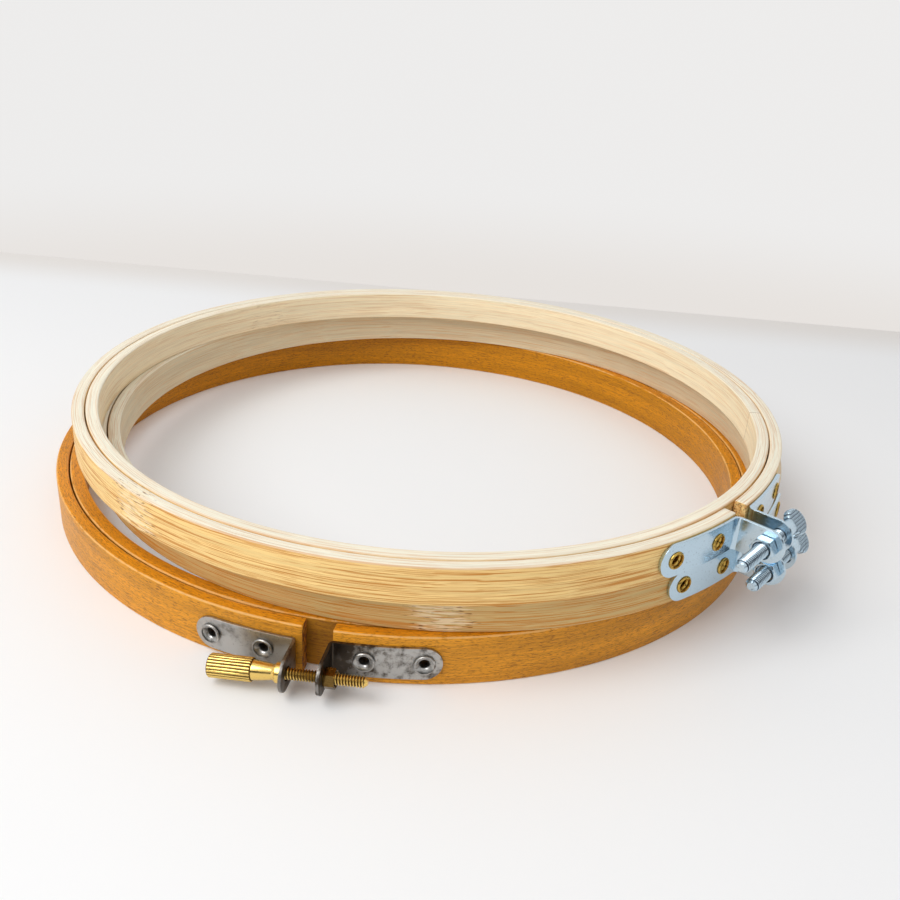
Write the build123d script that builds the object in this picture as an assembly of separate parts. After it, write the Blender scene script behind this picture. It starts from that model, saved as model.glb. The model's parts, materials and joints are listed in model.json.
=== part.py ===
from build123d import *
import json
import math
import os
from types import SimpleNamespace

# A stack of three wooden hoops for holding cloth. Each hoop is a closed inner ring inside a split
# outer ring, and the split is drawn together by a thumb screw through two riveted angle brackets.
# Lengths are in millimetres and angles in degrees.

# The hoops are of one nominal size: the upper one has it, and the two below are slightly larger
hoop_radius = 100.0
lower_radius_extra = 0.2
beech_radius_extra = 3.5

# Beech hoop: its two rings
beech_outer_radius = hoop_radius + beech_radius_extra
beech_outer_wall = 3.3
beech_inner_wall = 3.6
beech_ring_height = 12.8
beech_split = 6.75
beech_edge_break = 0.5
beech_clamp_azimuth = -97.8

# Beech hoop: its two brackets and their eyelets
beech_sheet = 0.7
beech_bracket_width = 8.2
beech_bend_radius = 0.5
beech_ear_reach = 11.2
beech_near_eyelet = 7.0
beech_eyelet_pitch = 13.1
beech_plate_end = 4.0
beech_fixed_set_back = 1.25
beech_free_set_back = -0.6
beech_fixed_plate_drop = 0.9
beech_free_plate_drop = 0.15
beech_eyelet_flange_radius = 2.45
beech_eyelet_bore_radius = 1.1
beech_eyelet_flange_height = 0.65

# Beech hoop: its knurled screw and its nut
beech_thread_radius = 1.35
beech_thread_pitch = 0.65
beech_screw_reach = 6.7
beech_screw_drop = 1.0
beech_screw_tilt = 3.3
beech_screw_length = 18.5
beech_collar_radius = 2.3
beech_collar_thickness = 1.6
beech_shank_length = 5.0
beech_shank_small_radius = 1.7
beech_shank_large_radius = 2.25
beech_head_radius = 2.65
beech_head_length = 9.8
beech_flute_count = 22
beech_flute_depth = 0.22
beech_nut_flats = 4.1
beech_nut_thickness = 2.5
beech_nut_turn = 10.0

# Lower bamboo hoop: its two rings
lower_outer_radius = hoop_radius + lower_radius_extra
lower_ring_height = 10.4
lower_split = 8.0
lower_clamp_azimuth = -39.0
lower_centre_x = 8.4
lower_centre_y = -0.7

# Upper bamboo hoop: its two rings
upper_ring_height = 9.4
upper_split = 5.4
upper_clamp_azimuth = -40.6
upper_centre_x = 5.1
upper_centre_y = -6.6

# Both bamboo hoops: walls, brackets and eyelets
bamboo_outer_wall = 3.2
bamboo_inner_wall = 3.3
bamboo_edge_break = 0.4
bamboo_sheet = 0.8
bamboo_bracket_width = 8.5
bamboo_bend_radius = 1.1
bamboo_near_eyelet = 6.9
bamboo_eyelet_pitch = 14.7
bamboo_plate_end = 4.6
lower_front_ear_reach = 12.7
lower_rear_ear_reach = 11.8
lower_plate_drop = 0.5
upper_front_ear_reach = 13.1
upper_rear_ear_reach = 12.2
upper_plate_drop = 0.1
bamboo_eyelet_flange_radius = 2.05
bamboo_eyelet_bore_radius = 1.15
bamboo_eyelet_flange_height = 0.4

# Both bamboo hoops: spade screw and nut
bamboo_thread_radius = 1.75
bamboo_thread_pitch = 0.68
bamboo_screw_reach = 8.8
bamboo_screw_tilt = 2.0
bamboo_screw_length = 19.6
bamboo_collar_radius = 2.6
bamboo_collar_thickness = 1.1
bamboo_neck_radius = 1.9
bamboo_spade_centre = 8.3
bamboo_spade_radius = 3.3
bamboo_spade_thickness = 2.0
bamboo_spade_edge = 0.5
bamboo_knurl_pitch = 0.75
bamboo_knurl_depth = 0.18
lower_spade_turn = -36.0
upper_spade_turn = -44.0
bamboo_nut_flats = 5.3
bamboo_nut_thickness = 2.4
bamboo_nut_turn = 0.0

# Sizes that all three clamps share
eyelet_wall = 0.35
eyelet_clinch_thickness = 0.35
eyelet_clinch_extra = 0.5
clinch_recess = 0.35
collar_bevel = 0.25

# Forms given as shares of the size that carries them
eyelet_roll_share = 0.45
thread_depth_share = 0.5
nut_bevel_slope_share = 0.6

# Clearances
joint_gap = 0.3
seat_gap = 0.1
eyelet_gap = 0.1
ear_hole_gap = 0.35
nut_bore_gap = 0.25
bearing_gap = 0.05

# One overrun serves every cut, and is longer than any wall here
overrun = 20.0

# How far the clamps open and close, in turns of the screw
loosening_turns = 5
tightening_turns = 0.75


def make_clamp(**sizes):
    return SimpleNamespace(**sizes)


beech = make_clamp(
    name="beech", head_side=-1, azimuth=beech_clamp_azimuth, x=0, y=0, base=0,
    outer_radius=beech_outer_radius, outer_wall=beech_outer_wall, inner_wall=beech_inner_wall,
    height=beech_ring_height, split=beech_split, edge_break=beech_edge_break,
    sheet=beech_sheet, width=beech_bracket_width, bend=beech_bend_radius,
    reach={-1: beech_ear_reach, 1: beech_ear_reach},
    near=beech_near_eyelet, pitch=beech_eyelet_pitch, plate_end=beech_plate_end,
    set_back={-1: beech_fixed_set_back, 1: beech_free_set_back},
    plate_drop={-1: beech_fixed_plate_drop, 1: beech_free_plate_drop},
    flange_radius=beech_eyelet_flange_radius, bore_radius=beech_eyelet_bore_radius,
    flange_height=beech_eyelet_flange_height,
    thread_radius=beech_thread_radius, thread_pitch=beech_thread_pitch,
    screw_reach=beech_screw_reach, screw_drop=beech_screw_drop, tilt=beech_screw_tilt,
    screw_length=beech_screw_length, collar_radius=beech_collar_radius,
    collar_thickness=beech_collar_thickness,
    nut_flats=beech_nut_flats, nut_thickness=beech_nut_thickness, nut_turn=beech_nut_turn)


def bamboo_hoop(name, azimuth, x, y, base, outer_radius, height, split, reach, plate_drop,
                spade_turn):
    return make_clamp(
        name=name, head_side=1, azimuth=azimuth, x=x, y=y, base=base,
        outer_radius=outer_radius, outer_wall=bamboo_outer_wall, inner_wall=bamboo_inner_wall,
        height=height, split=split, edge_break=bamboo_edge_break,
        sheet=bamboo_sheet, width=bamboo_bracket_width, bend=bamboo_bend_radius,
        reach=reach, near=bamboo_near_eyelet, pitch=bamboo_eyelet_pitch,
        plate_end=bamboo_plate_end, set_back={-1: 0, 1: 0},
        plate_drop={-1: plate_drop, 1: plate_drop},
        flange_radius=bamboo_eyelet_flange_radius, bore_radius=bamboo_eyelet_bore_radius,
        flange_height=bamboo_eyelet_flange_height,
        thread_radius=bamboo_thread_radius, thread_pitch=bamboo_thread_pitch,
        screw_reach=bamboo_screw_reach, screw_drop=plate_drop, tilt=bamboo_screw_tilt,
        screw_length=bamboo_screw_length, collar_radius=bamboo_collar_radius,
        collar_thickness=bamboo_collar_thickness, spade_turn=spade_turn,
        nut_flats=bamboo_nut_flats, nut_thickness=bamboo_nut_thickness, nut_turn=bamboo_nut_turn)


lower = bamboo_hoop(
    "lower_bamboo", lower_clamp_azimuth, lower_centre_x, lower_centre_y, beech_ring_height,
    lower_outer_radius, lower_ring_height, lower_split,
    {-1: lower_front_ear_reach, 1: lower_rear_ear_reach}, lower_plate_drop, lower_spade_turn)
upper = bamboo_hoop(
    "upper_bamboo", upper_clamp_azimuth, upper_centre_x, upper_centre_y,
    beech_ring_height + lower_ring_height,
    hoop_radius, upper_ring_height, upper_split,
    {-1: upper_front_ear_reach, 1: upper_rear_ear_reach}, upper_plate_drop, upper_spade_turn)


# Every function below works in a hoop's own frame: the hoop's axis is Z with its base at zero,
# the split is centred on +X, and Y runs along the screw. A side is -1 or 1, the sign of Y.

def joint_radius(hoop):
    return hoop.outer_radius - hoop.outer_wall


def screw_radius(hoop):
    return hoop.outer_radius + hoop.screw_reach


def screw_height(hoop, y):
    return hoop.height / 2 - hoop.screw_drop + y * math.tan(math.radians(hoop.tilt))


def plate_height(hoop, side):
    return hoop.height / 2 - hoop.plate_drop[side]


def ear_face(hoop, side):
    """Y of the face of an ear that looks across the split."""
    return side * (hoop.split / 2 + hoop.set_back[side])


def ear_back(hoop, side):
    return ear_face(hoop, side) + side * hoop.sheet


def eyelet_angles(hoop, side):
    plate_radius = hoop.outer_radius + hoop.sheet
    start = abs(ear_back(hoop, side))
    distances = (start + hoop.near, start + hoop.near + hoop.pitch)
    return [math.degrees(side * distance / plate_radius) for distance in distances]


def radial(hoop, side, angle):
    """A frame on the hoop's axis whose Z points outwards through an eyelet."""
    return Rot(0, 0, angle) * Pos(0, 0, plate_height(hoop, side)) * Rot(0, 90, 0)


def across(hoop):
    """A frame at the middle of the split whose Z runs along the screw towards +Y."""
    centre = Pos(screw_radius(hoop), 0, screw_height(hoop, 0))
    return centre * Rot(hoop.tilt, 0, 0) * Rot(-90, 0, 0)


def turned(points):
    """A solid turned about Z from the (radius, height) corners of its section."""
    return revolve(Plane.XZ * make_face(Polyline(*points, close=True)), Axis.Z)


def plain_ring(outer, inner, height, edge_break):
    section = [
        (inner, edge_break), (inner + edge_break, 0), (outer - edge_break, 0),
        (outer, edge_break), (outer, height - edge_break), (outer - edge_break, height),
        (inner + edge_break, height), (inner, height - edge_break)]
    return turned(section)


def eyelet_barrel_radius(hoop):
    return hoop.bore_radius + eyelet_wall


def clinch_radius(hoop):
    return eyelet_barrel_radius(hoop) + eyelet_clinch_extra


def outer_ring(hoop):
    ring = plain_ring(hoop.outer_radius, joint_radius(hoop), hoop.height, hoop.edge_break)
    ring -= Pos(hoop.outer_radius, 0, hoop.height / 2) * Box(
        2 * overrun, hoop.split, hoop.height + overrun)
    pocket = clinch_recess + eyelet_clinch_thickness + eyelet_gap
    for side in (-1, 1):
        for angle in eyelet_angles(hoop, side):
            place = radial(hoop, side, angle) * Pos(0, 0, joint_radius(hoop))
            ring -= place * Cylinder(eyelet_barrel_radius(hoop) + eyelet_gap, 2 * overrun)
            ring -= place * Cylinder(clinch_radius(hoop) + eyelet_gap, 2 * pocket)
    return ring


def inner_ring(hoop):
    outer = joint_radius(hoop) - joint_gap
    return plain_ring(outer, outer - hoop.inner_wall, hoop.height, hoop.edge_break)


def sector(radius, side, start_y, angle):
    """The part of a disc from the line y = start_y round to an angle on the same side."""
    far = 2 * radius
    reach = (far * math.cos(math.radians(angle)), far * math.sin(math.radians(angle)))
    wedge = make_face(Polyline((0, 0), (far, 0), reach, close=True))
    beyond = Pos(0, start_y + side * far) * Rectangle(2 * far, 2 * far)
    return Circle(radius) & wedge & beyond


def nearest_corner(shape, place):
    return min(shape.vertices(), key=lambda corner: math.dist((corner.X, corner.Y), place))


def bracket(hoop, side):
    """An angle bracket: a plate bent to the ring, a tight bend and a flat ear."""
    inside = hoop.outer_radius + seat_gap
    outside = inside + hoop.sheet
    face = ear_face(hoop, side)
    back = ear_back(hoop, side)
    ear_end = hoop.outer_radius + hoop.reach[side]
    far = 2 * ear_end
    rounding = hoop.width / 2
    middle = plate_height(hoop, side)

    last_angle = eyelet_angles(hoop, side)[-1]
    end_angle = last_angle + side * math.degrees(hoop.plate_end / outside)
    plate = sector(outside, side, face, end_angle) - Circle(inside)
    ear_start = math.sqrt(inside ** 2 - face ** 2)
    ear = Pos((ear_start + ear_end) / 2, (face + back) / 2) * Rectangle(
        ear_end - ear_start, hoop.sheet)
    section = plate + ear
    concave = (math.sqrt(outside ** 2 - back ** 2), back)
    section = fillet(nearest_corner(section, concave), hoop.bend)
    section = fillet(nearest_corner(section, (ear_start, face)), hoop.bend + hoop.sheet)
    solid = Pos(0, 0, middle - rounding) * extrude(section, hoop.width)

    # Both ends are half round
    ear_keep = Pos(-far / 2) * Box(far, far, far) + Rot(90, 0, 0) * Cylinder(rounding, far)
    solid &= Pos(ear_end - rounding, 0, middle) * ear_keep
    round_angle = end_angle - side * math.degrees(rounding / outside)
    plate_keep = Pos(0, -side * far / 2) * Box(far, far, far) + Rot(0, 90, 0) * Cylinder(rounding, far)
    solid &= Rot(0, 0, round_angle) * Pos(0, 0, middle) * plate_keep

    # Holes for the eyelets and for the screw
    for angle in eyelet_angles(hoop, side):
        place = radial(hoop, side, angle) * Pos(0, 0, outside)
        solid -= place * Cylinder(eyelet_barrel_radius(hoop) + eyelet_gap, overrun)
    hole = Pos(screw_radius(hoop), face, screw_height(hoop, (face + back) / 2)) * Rot(90, 0, 0)
    solid -= hole * Cylinder(hoop.thread_radius + ear_hole_gap, 2 * hoop.sheet + hoop.split)
    return solid


def eyelet(hoop):
    """A tubular rivet about Z, whose height is measured from the hoop's axis."""
    bore = hoop.bore_radius
    barrel = eyelet_barrel_radius(hoop)
    clinch_low = joint_radius(hoop) + clinch_recess
    clinch_high = clinch_low + eyelet_clinch_thickness
    flange_low = hoop.outer_radius + seat_gap + hoop.sheet + bearing_gap
    flange_high = flange_low + hoop.flange_height
    body = turned([
        (bore, clinch_low), (clinch_radius(hoop), clinch_low), (clinch_radius(hoop), clinch_high),
        (barrel, clinch_high), (barrel, flange_low), (hoop.flange_radius, flange_low),
        (hoop.flange_radius, flange_high), (bore, flange_high)])
    rims = body.edges().filter_by(GeomType.CIRCLE).filter_by(
        lambda rim: math.isclose(rim.center().Z, flange_high))
    return fillet(rims, hoop.flange_height * eyelet_roll_share)


def eyelets(hoop, side):
    return [radial(hoop, side, angle) * eyelet(hoop) for angle in eyelet_angles(hoop, side)]


def threaded_rod(radius, pitch, length):
    """A rod from zero up to its length, with ridges at the pitch and a bevelled tip."""
    depth = pitch * thread_depth_share
    bevel = depth + pitch
    ridges = int((length - bevel) / pitch)
    section = [(0, 0), (radius - depth, 0)]
    for ridge in range(ridges):
        section.append((radius, (ridge + 1 / 2) * pitch))
        section.append((radius - depth, (ridge + 1) * pitch))
    section += [(radius - depth, length - bevel), (radius, length - bevel)]
    section += [(radius - bevel + depth, length), (0, length)]
    return turned(section)


def bearing_play(hoop, radius):
    """Room for a face that leans with the screw against a flat ear."""
    return bearing_gap + radius * math.tan(math.radians(hoop.tilt))


def head_place(hoop):
    """The frame of the screw's collar: Z points away from the ear, towards the head."""
    start = abs(ear_back(hoop, hoop.head_side)) + bearing_play(hoop, hoop.collar_radius)
    flip = Rot(0, 0, 0) if hoop.head_side > 0 else Rot(180, 0, 0)
    return across(hoop) * flip * Pos(0, 0, start)


def knurled_head(hoop):
    """A straight-fluted head on a tapering shank."""
    shank_top = hoop.collar_thickness + beech_shank_length
    head_top = shank_top + beech_head_length
    shank = turned([
        (0, hoop.collar_thickness), (beech_shank_small_radius, hoop.collar_thickness),
        (beech_shank_large_radius, shank_top), (0, shank_top)])
    corners = []
    for flute in range(beech_flute_count):
        for step, radius in ((0, beech_head_radius), (1 / 2, beech_head_radius - beech_flute_depth)):
            turn = 2 * math.pi * (flute + step) / beech_flute_count
            corners.append((radius * math.cos(turn), radius * math.sin(turn)))
    fluted = Pos(0, 0, shank_top) * extrude(
        make_face(Polyline(*corners, close=True)), beech_head_length)
    bevel = beech_flute_depth
    outline = turned([
        (0, shank_top), (beech_head_radius - bevel, shank_top),
        (beech_head_radius, shank_top + bevel), (beech_head_radius, head_top - bevel),
        (beech_head_radius - bevel, head_top), (0, head_top)])
    return shank + (fluted & outline)


def spade_head(hoop):
    """A flat round grip, knurled on both faces, on a short neck."""
    centre = bamboo_spade_centre
    neck = Pos(0, 0, (hoop.collar_thickness + centre) / 2) * Cylinder(
        bamboo_neck_radius, centre - hoop.collar_thickness)
    disc = Rot(0, 90, 0) * Cylinder(bamboo_spade_radius, bamboo_spade_thickness)
    rims = disc.edges().filter_by(GeomType.CIRCLE)
    disc = fillet(rims, bamboo_spade_edge)
    lines = int(bamboo_spade_radius / bamboo_knurl_pitch)
    bar = extrude(make_face(Polyline(
        (bamboo_knurl_depth, 0), (0, bamboo_knurl_depth), (0, -bamboo_knurl_depth), close=True)),
        bamboo_spade_radius * 2, both=True)
    grooves = [
        Rot(0, 0, flip) * Rot(across_turn, 0, 0)
        * Pos(-bamboo_spade_thickness / 2, line * bamboo_knurl_pitch) * bar
        for flip in (0, 180) for across_turn in (0, 90) for line in range(-lines, lines + 1)]
    grip = Pos(0, 0, centre) * (disc - grooves)
    return Rot(0, 0, hoop.spade_turn) * (neck + grip)


def clamp_screw(hoop):
    """Local Z points from the threaded end to the head, from the collar's bearing face."""
    collar = Pos(0, 0, hoop.collar_thickness / 2) * Cylinder(
        hoop.collar_radius, hoop.collar_thickness)
    collar = chamfer(collar.edges().filter_by(GeomType.CIRCLE), collar_bevel)
    rod = Rot(180, 0, 0) * threaded_rod(hoop.thread_radius, hoop.thread_pitch, hoop.screw_length)
    head = knurled_head(hoop) if hoop.head_side < 0 else spade_head(hoop)
    return head_place(hoop) * (rod + collar + head)


def clamp_nut(hoop):
    """A hexagonal nut against the back of the far ear, its corners bevelled on both faces."""
    side = -hoop.head_side
    corner = hoop.nut_flats / 2 / math.cos(math.pi / 6)
    bevel = corner - hoop.nut_flats / 2
    blank = extrude(RegularPolygon(corner, 6), hoop.nut_thickness)
    outline = turned([
        (0, 0), (corner - bevel, 0), (corner, bevel * nut_bevel_slope_share),
        (corner, hoop.nut_thickness - bevel * nut_bevel_slope_share),
        (corner - bevel, hoop.nut_thickness), (0, hoop.nut_thickness)])
    nut = blank & outline
    nut -= Cylinder(hoop.thread_radius + nut_bore_gap, 2 * overrun)
    start = abs(ear_back(hoop, side)) + bearing_play(hoop, corner)
    flip = Rot(0, 0, 0) if side > 0 else Rot(180, 0, 0)
    return across(hoop) * flip * Pos(0, 0, start) * Rot(0, 0, hoop.nut_turn) * nut


SIDES = {
    "beech": {-1: "left", 1: "right"},
    "lower_bamboo": {-1: "front", 1: "rear"},
    "upper_bamboo": {-1: "front", 1: "rear"}}


def nodes_of(hoop):
    made = {"outer_ring": [outer_ring(hoop)], "inner_ring": [inner_ring(hoop)]}
    for side, word in SIDES[hoop.name].items():
        made[word + "_bracket"] = [bracket(hoop, side)]
        made[word + "_eyelets"] = eyelets(hoop, side)
    made["clamp_screw"] = [clamp_screw(hoop)]
    made["clamp_nut"] = [clamp_nut(hoop)]
    place = Pos(hoop.x, hoop.y, hoop.base) * Rot(0, 0, hoop.azimuth)
    return {hoop.name + "_" + word: [place * solid for solid in solids]
            for word, solids in made.items()}


def joint_places(hoop, shift):
    """Where the hoop's joints are, in the part's own frame."""
    place = shift * Pos(hoop.x, hoop.y, hoop.base) * Rot(0, 0, hoop.azimuth)
    head = place * head_place(hoop)
    pivot_radius = (hoop.outer_radius + joint_radius(hoop)) / 2
    pivot = place * Pos(-pivot_radius, 0, hoop.height / 2)
    tip = head * Pos(0, 0, -hoop.screw_length)

    # The nut's side of the ring swings by the screw's travel over the distance to the pivot
    swing = math.degrees(hoop.thread_pitch / (pivot_radius + screw_radius(hoop)))
    opening = -hoop.head_side
    return {
        "screw_head": list(head.position), "screw_tip": list(tip.position),
        "screw_turns": [-loosening_turns, tightening_turns],
        "ring_pivot": list(pivot.position), "ring_swing_per_turn": -opening * swing,
        "centre": list(place.position)}


def main():
    os.makedirs("parts", exist_ok=True)
    nodes = {}
    for hoop in (beech, lower, upper):
        nodes.update(nodes_of(hoop))

    # The part's origin is the middle of the base of its box
    boxes = [solid.bounding_box() for solids in nodes.values() for solid in solids]
    low = [min(tuple(box.min)[axis] for box in boxes) for axis in range(3)]
    high = [max(tuple(box.max)[axis] for box in boxes) for axis in range(3)]
    shift = Pos(-(low[0] + high[0]) / 2, -(low[1] + high[1]) / 2, -low[2])
    for name, solids in nodes.items():
        placed = [shift * solid for solid in solids]
        shape = placed[0] if len(placed) == 1 else Compound(children=placed)
        export_step(shape, "parts/" + name + ".step")
    places = {hoop.name: joint_places(hoop, shift) for hoop in (beech, lower, upper)}
    print(json.dumps(places, indent=1))


main()
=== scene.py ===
"""Three stacked wooden embroidery hoops, dressed for a studio picture.

Each hoop is a closed inner ring inside a split outer ring. A thumb screw through two riveted
angle brackets draws the split together. Every length in the mesh is in metres.
"""
import bmesh
import bpy
import json
import math
from mathutils import Matrix, Vector, noise


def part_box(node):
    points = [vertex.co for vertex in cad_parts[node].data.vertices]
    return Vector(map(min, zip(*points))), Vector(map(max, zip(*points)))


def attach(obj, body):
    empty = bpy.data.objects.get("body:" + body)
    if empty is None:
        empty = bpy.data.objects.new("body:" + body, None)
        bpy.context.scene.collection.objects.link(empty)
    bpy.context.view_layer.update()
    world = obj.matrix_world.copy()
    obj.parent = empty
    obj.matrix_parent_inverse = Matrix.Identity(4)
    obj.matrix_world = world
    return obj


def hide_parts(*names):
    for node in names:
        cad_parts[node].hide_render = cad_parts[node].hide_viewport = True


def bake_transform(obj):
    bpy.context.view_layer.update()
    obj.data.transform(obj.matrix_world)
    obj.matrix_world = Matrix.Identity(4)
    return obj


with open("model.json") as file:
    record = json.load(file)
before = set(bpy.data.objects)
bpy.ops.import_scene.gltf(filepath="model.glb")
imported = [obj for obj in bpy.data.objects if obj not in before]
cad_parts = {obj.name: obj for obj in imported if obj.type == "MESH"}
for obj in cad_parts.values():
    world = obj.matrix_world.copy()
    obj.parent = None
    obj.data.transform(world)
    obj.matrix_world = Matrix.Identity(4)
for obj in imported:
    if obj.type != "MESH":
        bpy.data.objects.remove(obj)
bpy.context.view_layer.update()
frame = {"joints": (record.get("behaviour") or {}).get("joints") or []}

from types import SimpleNamespace

JOINTS = {joint["name"]: joint for joint in frame["joints"]}

bl_info = {
    "name": "Embroidery hoop stack",
    "version": (1, 0, 0),
    "blender": (4, 5, 0),
    "location": "3D View > Sidebar > Hoops",
    "description": "Builds three wooden embroidery hoops with their screw clamps",
    "category": "Object"}


# Properties: the sizes and colours that a user would change

def size(label, about, millimetres):
    return bpy.props.FloatProperty(
        name=label, description=about, default=millimetres / 1000,
        subtype="DISTANCE", unit="LENGTH", precision=5)


def turn(label, about, degrees):
    return bpy.props.FloatProperty(
        name=label, description=about, default=math.radians(degrees),
        subtype="ANGLE", unit="ROTATION")


def colour(label, about, red, green, blue):
    return bpy.props.FloatVectorProperty(
        name=label, description=about, default=(red, green, blue, 1.0),
        subtype="COLOR", size=4, min=0.0, max=1.0)


class BeechHoopSizes(bpy.types.PropertyGroup):
    outer_radius: size("Outer radius", "Outside of the split ring", 103.5)
    outer_wall: size("Outer wall", "Wood thickness of the split ring", 3.3)
    inner_wall: size("Inner wall", "Wood thickness of the closed ring", 3.6)
    height: size("Height", "Height of both rings", 12.8)
    split: size("Split", "Gap between the ends of the split ring", 6.75)
    edge_round: size("Edge round", "Radius of the sanded edges", 0.5)
    sheet: size("Sheet", "Thickness of the bracket's sheet", 0.7)
    bracket_width: size("Bracket width", "Width of the bracket's strip", 8.2)
    bend: size("Bend", "Inside radius of the bracket's bend", 0.5)
    front_ear_reach: size("Left ear reach", "From the ring to the left ear's tip", 11.2)
    rear_ear_reach: size("Right ear reach", "From the ring to the right ear's tip", 11.2)
    near_eyelet: size("Near eyelet", "From the ear's back to the first eyelet", 7.0)
    eyelet_pitch: size("Eyelet pitch", "Between a bracket's two eyelets", 13.1)
    plate_end: size("Plate end", "From the last eyelet to the plate's end", 4.0)
    front_set_back: size("Left set back", "How far the left ear stands behind the split", 1.25)
    rear_set_back: size("Right set back", "How far the right ear stands behind the split", -0.6)
    front_plate_drop: size("Left plate drop", "Left plate below the ring's middle", 0.9)
    rear_plate_drop: size("Right plate drop", "Right plate below the ring's middle", 0.15)
    flange_radius: size("Eyelet radius", "Outside of the eyelet's roll", 2.45)
    bore_radius: size("Eyelet bore", "Radius of the eyelet's hole", 1.1)
    flange_height: size("Eyelet height", "Height of the eyelet's roll on the plate", 0.65)
    thread_radius: size("Thread radius", "Outside of the screw's thread", 1.35)
    thread_pitch: size("Thread pitch", "Between two turns of the thread", 0.65)
    screw_reach: size("Screw reach", "From the ring to the screw's axis", 6.7)
    screw_drop: size("Screw drop", "Screw below the ring's middle", 1.0)
    screw_tilt: turn("Screw tilt", "How far the screw leans in its holes", 3.3)
    screw_length: size("Screw length", "From the collar to the threaded tip", 18.5)
    collar_radius: size("Collar radius", "Radius of the screw's collar", 2.3)
    collar_thickness: size("Collar thickness", "Thickness of the screw's collar", 1.6)
    shank_length: size("Shank length", "Between the collar and the fluted grip", 5.0)
    shank_small: size("Shank small end", "Shank's radius at the collar", 1.7)
    shank_large: size("Shank large end", "Shank's radius at the grip", 2.25)
    head_radius: size("Grip radius", "Radius of the fluted grip", 2.65)
    head_length: size("Grip length", "Length of the fluted grip", 9.8)
    flute_depth: size("Flute depth", "Depth of the grip's flutes", 0.22)
    flutes: bpy.props.IntProperty(
        name="Flutes", description="Flutes round the grip", default=22, min=8, max=60)
    nut_flats: size("Nut flats", "Across the nut's flats", 4.1)
    nut_thickness: size("Nut thickness", "Thickness of the nut", 2.5)
    nut_turn: turn("Nut turn", "How the nut is turned on the screw", 10.0)


class BambooClampSizes(bpy.types.PropertyGroup):
    outer_wall: size("Outer wall", "Bamboo thickness of the split rings", 3.2)
    inner_wall: size("Inner wall", "Bamboo thickness of the closed rings", 3.3)
    edge_round: size("Edge round", "Radius of the sanded edges", 0.4)
    sheet: size("Sheet", "Thickness of the bracket's sheet", 0.8)
    bracket_width: size("Bracket width", "Width of the bracket's strip", 8.5)
    bend: size("Bend", "Inside radius of the bracket's bend", 1.1)
    near_eyelet: size("Near eyelet", "From the ear's back to the first eyelet", 6.9)
    eyelet_pitch: size("Eyelet pitch", "Between a bracket's two eyelets", 14.7)
    plate_end: size("Plate end", "From the last eyelet to the plate's end", 4.6)
    flange_radius: size("Eyelet radius", "Outside of the eyelet's roll", 2.05)
    bore_radius: size("Eyelet bore", "Radius of the eyelet's hole", 1.15)
    flange_height: size("Eyelet height", "Height of the eyelet's roll on the plate", 0.4)
    thread_radius: size("Thread radius", "Outside of the screw's thread", 1.75)
    thread_pitch: size("Thread pitch", "Between two turns of the thread", 0.68)
    screw_reach: size("Screw reach", "From the ring to the screw's axis", 8.8)
    screw_tilt: turn("Screw tilt", "How far the screw leans in its holes", 2.0)
    screw_length: size("Screw length", "From the collar to the threaded tip", 19.6)
    collar_radius: size("Collar radius", "Radius of the screw's collar", 2.6)
    collar_thickness: size("Collar thickness", "Thickness of the screw's collar", 1.1)
    neck_radius: size("Neck radius", "Radius between the collar and the spade", 1.9)
    spade_centre: size("Spade centre", "From the collar's face to the spade's middle", 8.3)
    spade_radius: size("Spade radius", "Radius of the round grip", 3.3)
    spade_thickness: size("Spade thickness", "Thickness of the round grip", 2.0)
    spade_edge: size("Spade edge", "Rounding of the grip's edge", 0.5)
    knurl_pitch: size("Knurl pitch", "Between two grooves of the grip", 0.75)
    knurl_depth: size("Knurl depth", "Depth of the grip's grooves", 0.14)
    nut_flats: size("Nut flats", "Across the nut's flats", 5.3)
    nut_thickness: size("Nut thickness", "Thickness of the nut", 2.4)
    nut_turn: turn("Nut turn", "How the nut is turned on the screw", 0.0)


class LowerBambooSizes(bpy.types.PropertyGroup):
    outer_radius: size("Outer radius", "Outside of the split ring", 100.2)
    height: size("Height", "Height of both rings", 10.4)
    split: size("Split", "Gap between the ends of the split ring", 8.0)
    front_ear_reach: size("Front ear reach", "From the ring to the front ear's tip", 12.7)
    rear_ear_reach: size("Rear ear reach", "From the ring to the rear ear's tip", 11.8)
    plate_drop: size("Plate drop", "Plates below the ring's middle", 0.5)
    spade_turn: turn("Spade turn", "How the round grip is turned", -36.0)


class UpperBambooSizes(bpy.types.PropertyGroup):
    outer_radius: size("Outer radius", "Outside of the split ring", 100.0)
    height: size("Height", "Height of both rings", 9.4)
    split: size("Split", "Gap between the ends of the split ring", 5.4)
    front_ear_reach: size("Front ear reach", "From the ring to the front ear's tip", 13.1)
    rear_ear_reach: size("Rear ear reach", "From the ring to the rear ear's tip", 12.2)
    plate_drop: size("Plate drop", "Plates below the ring's middle", 0.1)
    spade_turn: turn("Spade turn", "How the round grip is turned", -44.0)


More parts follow.
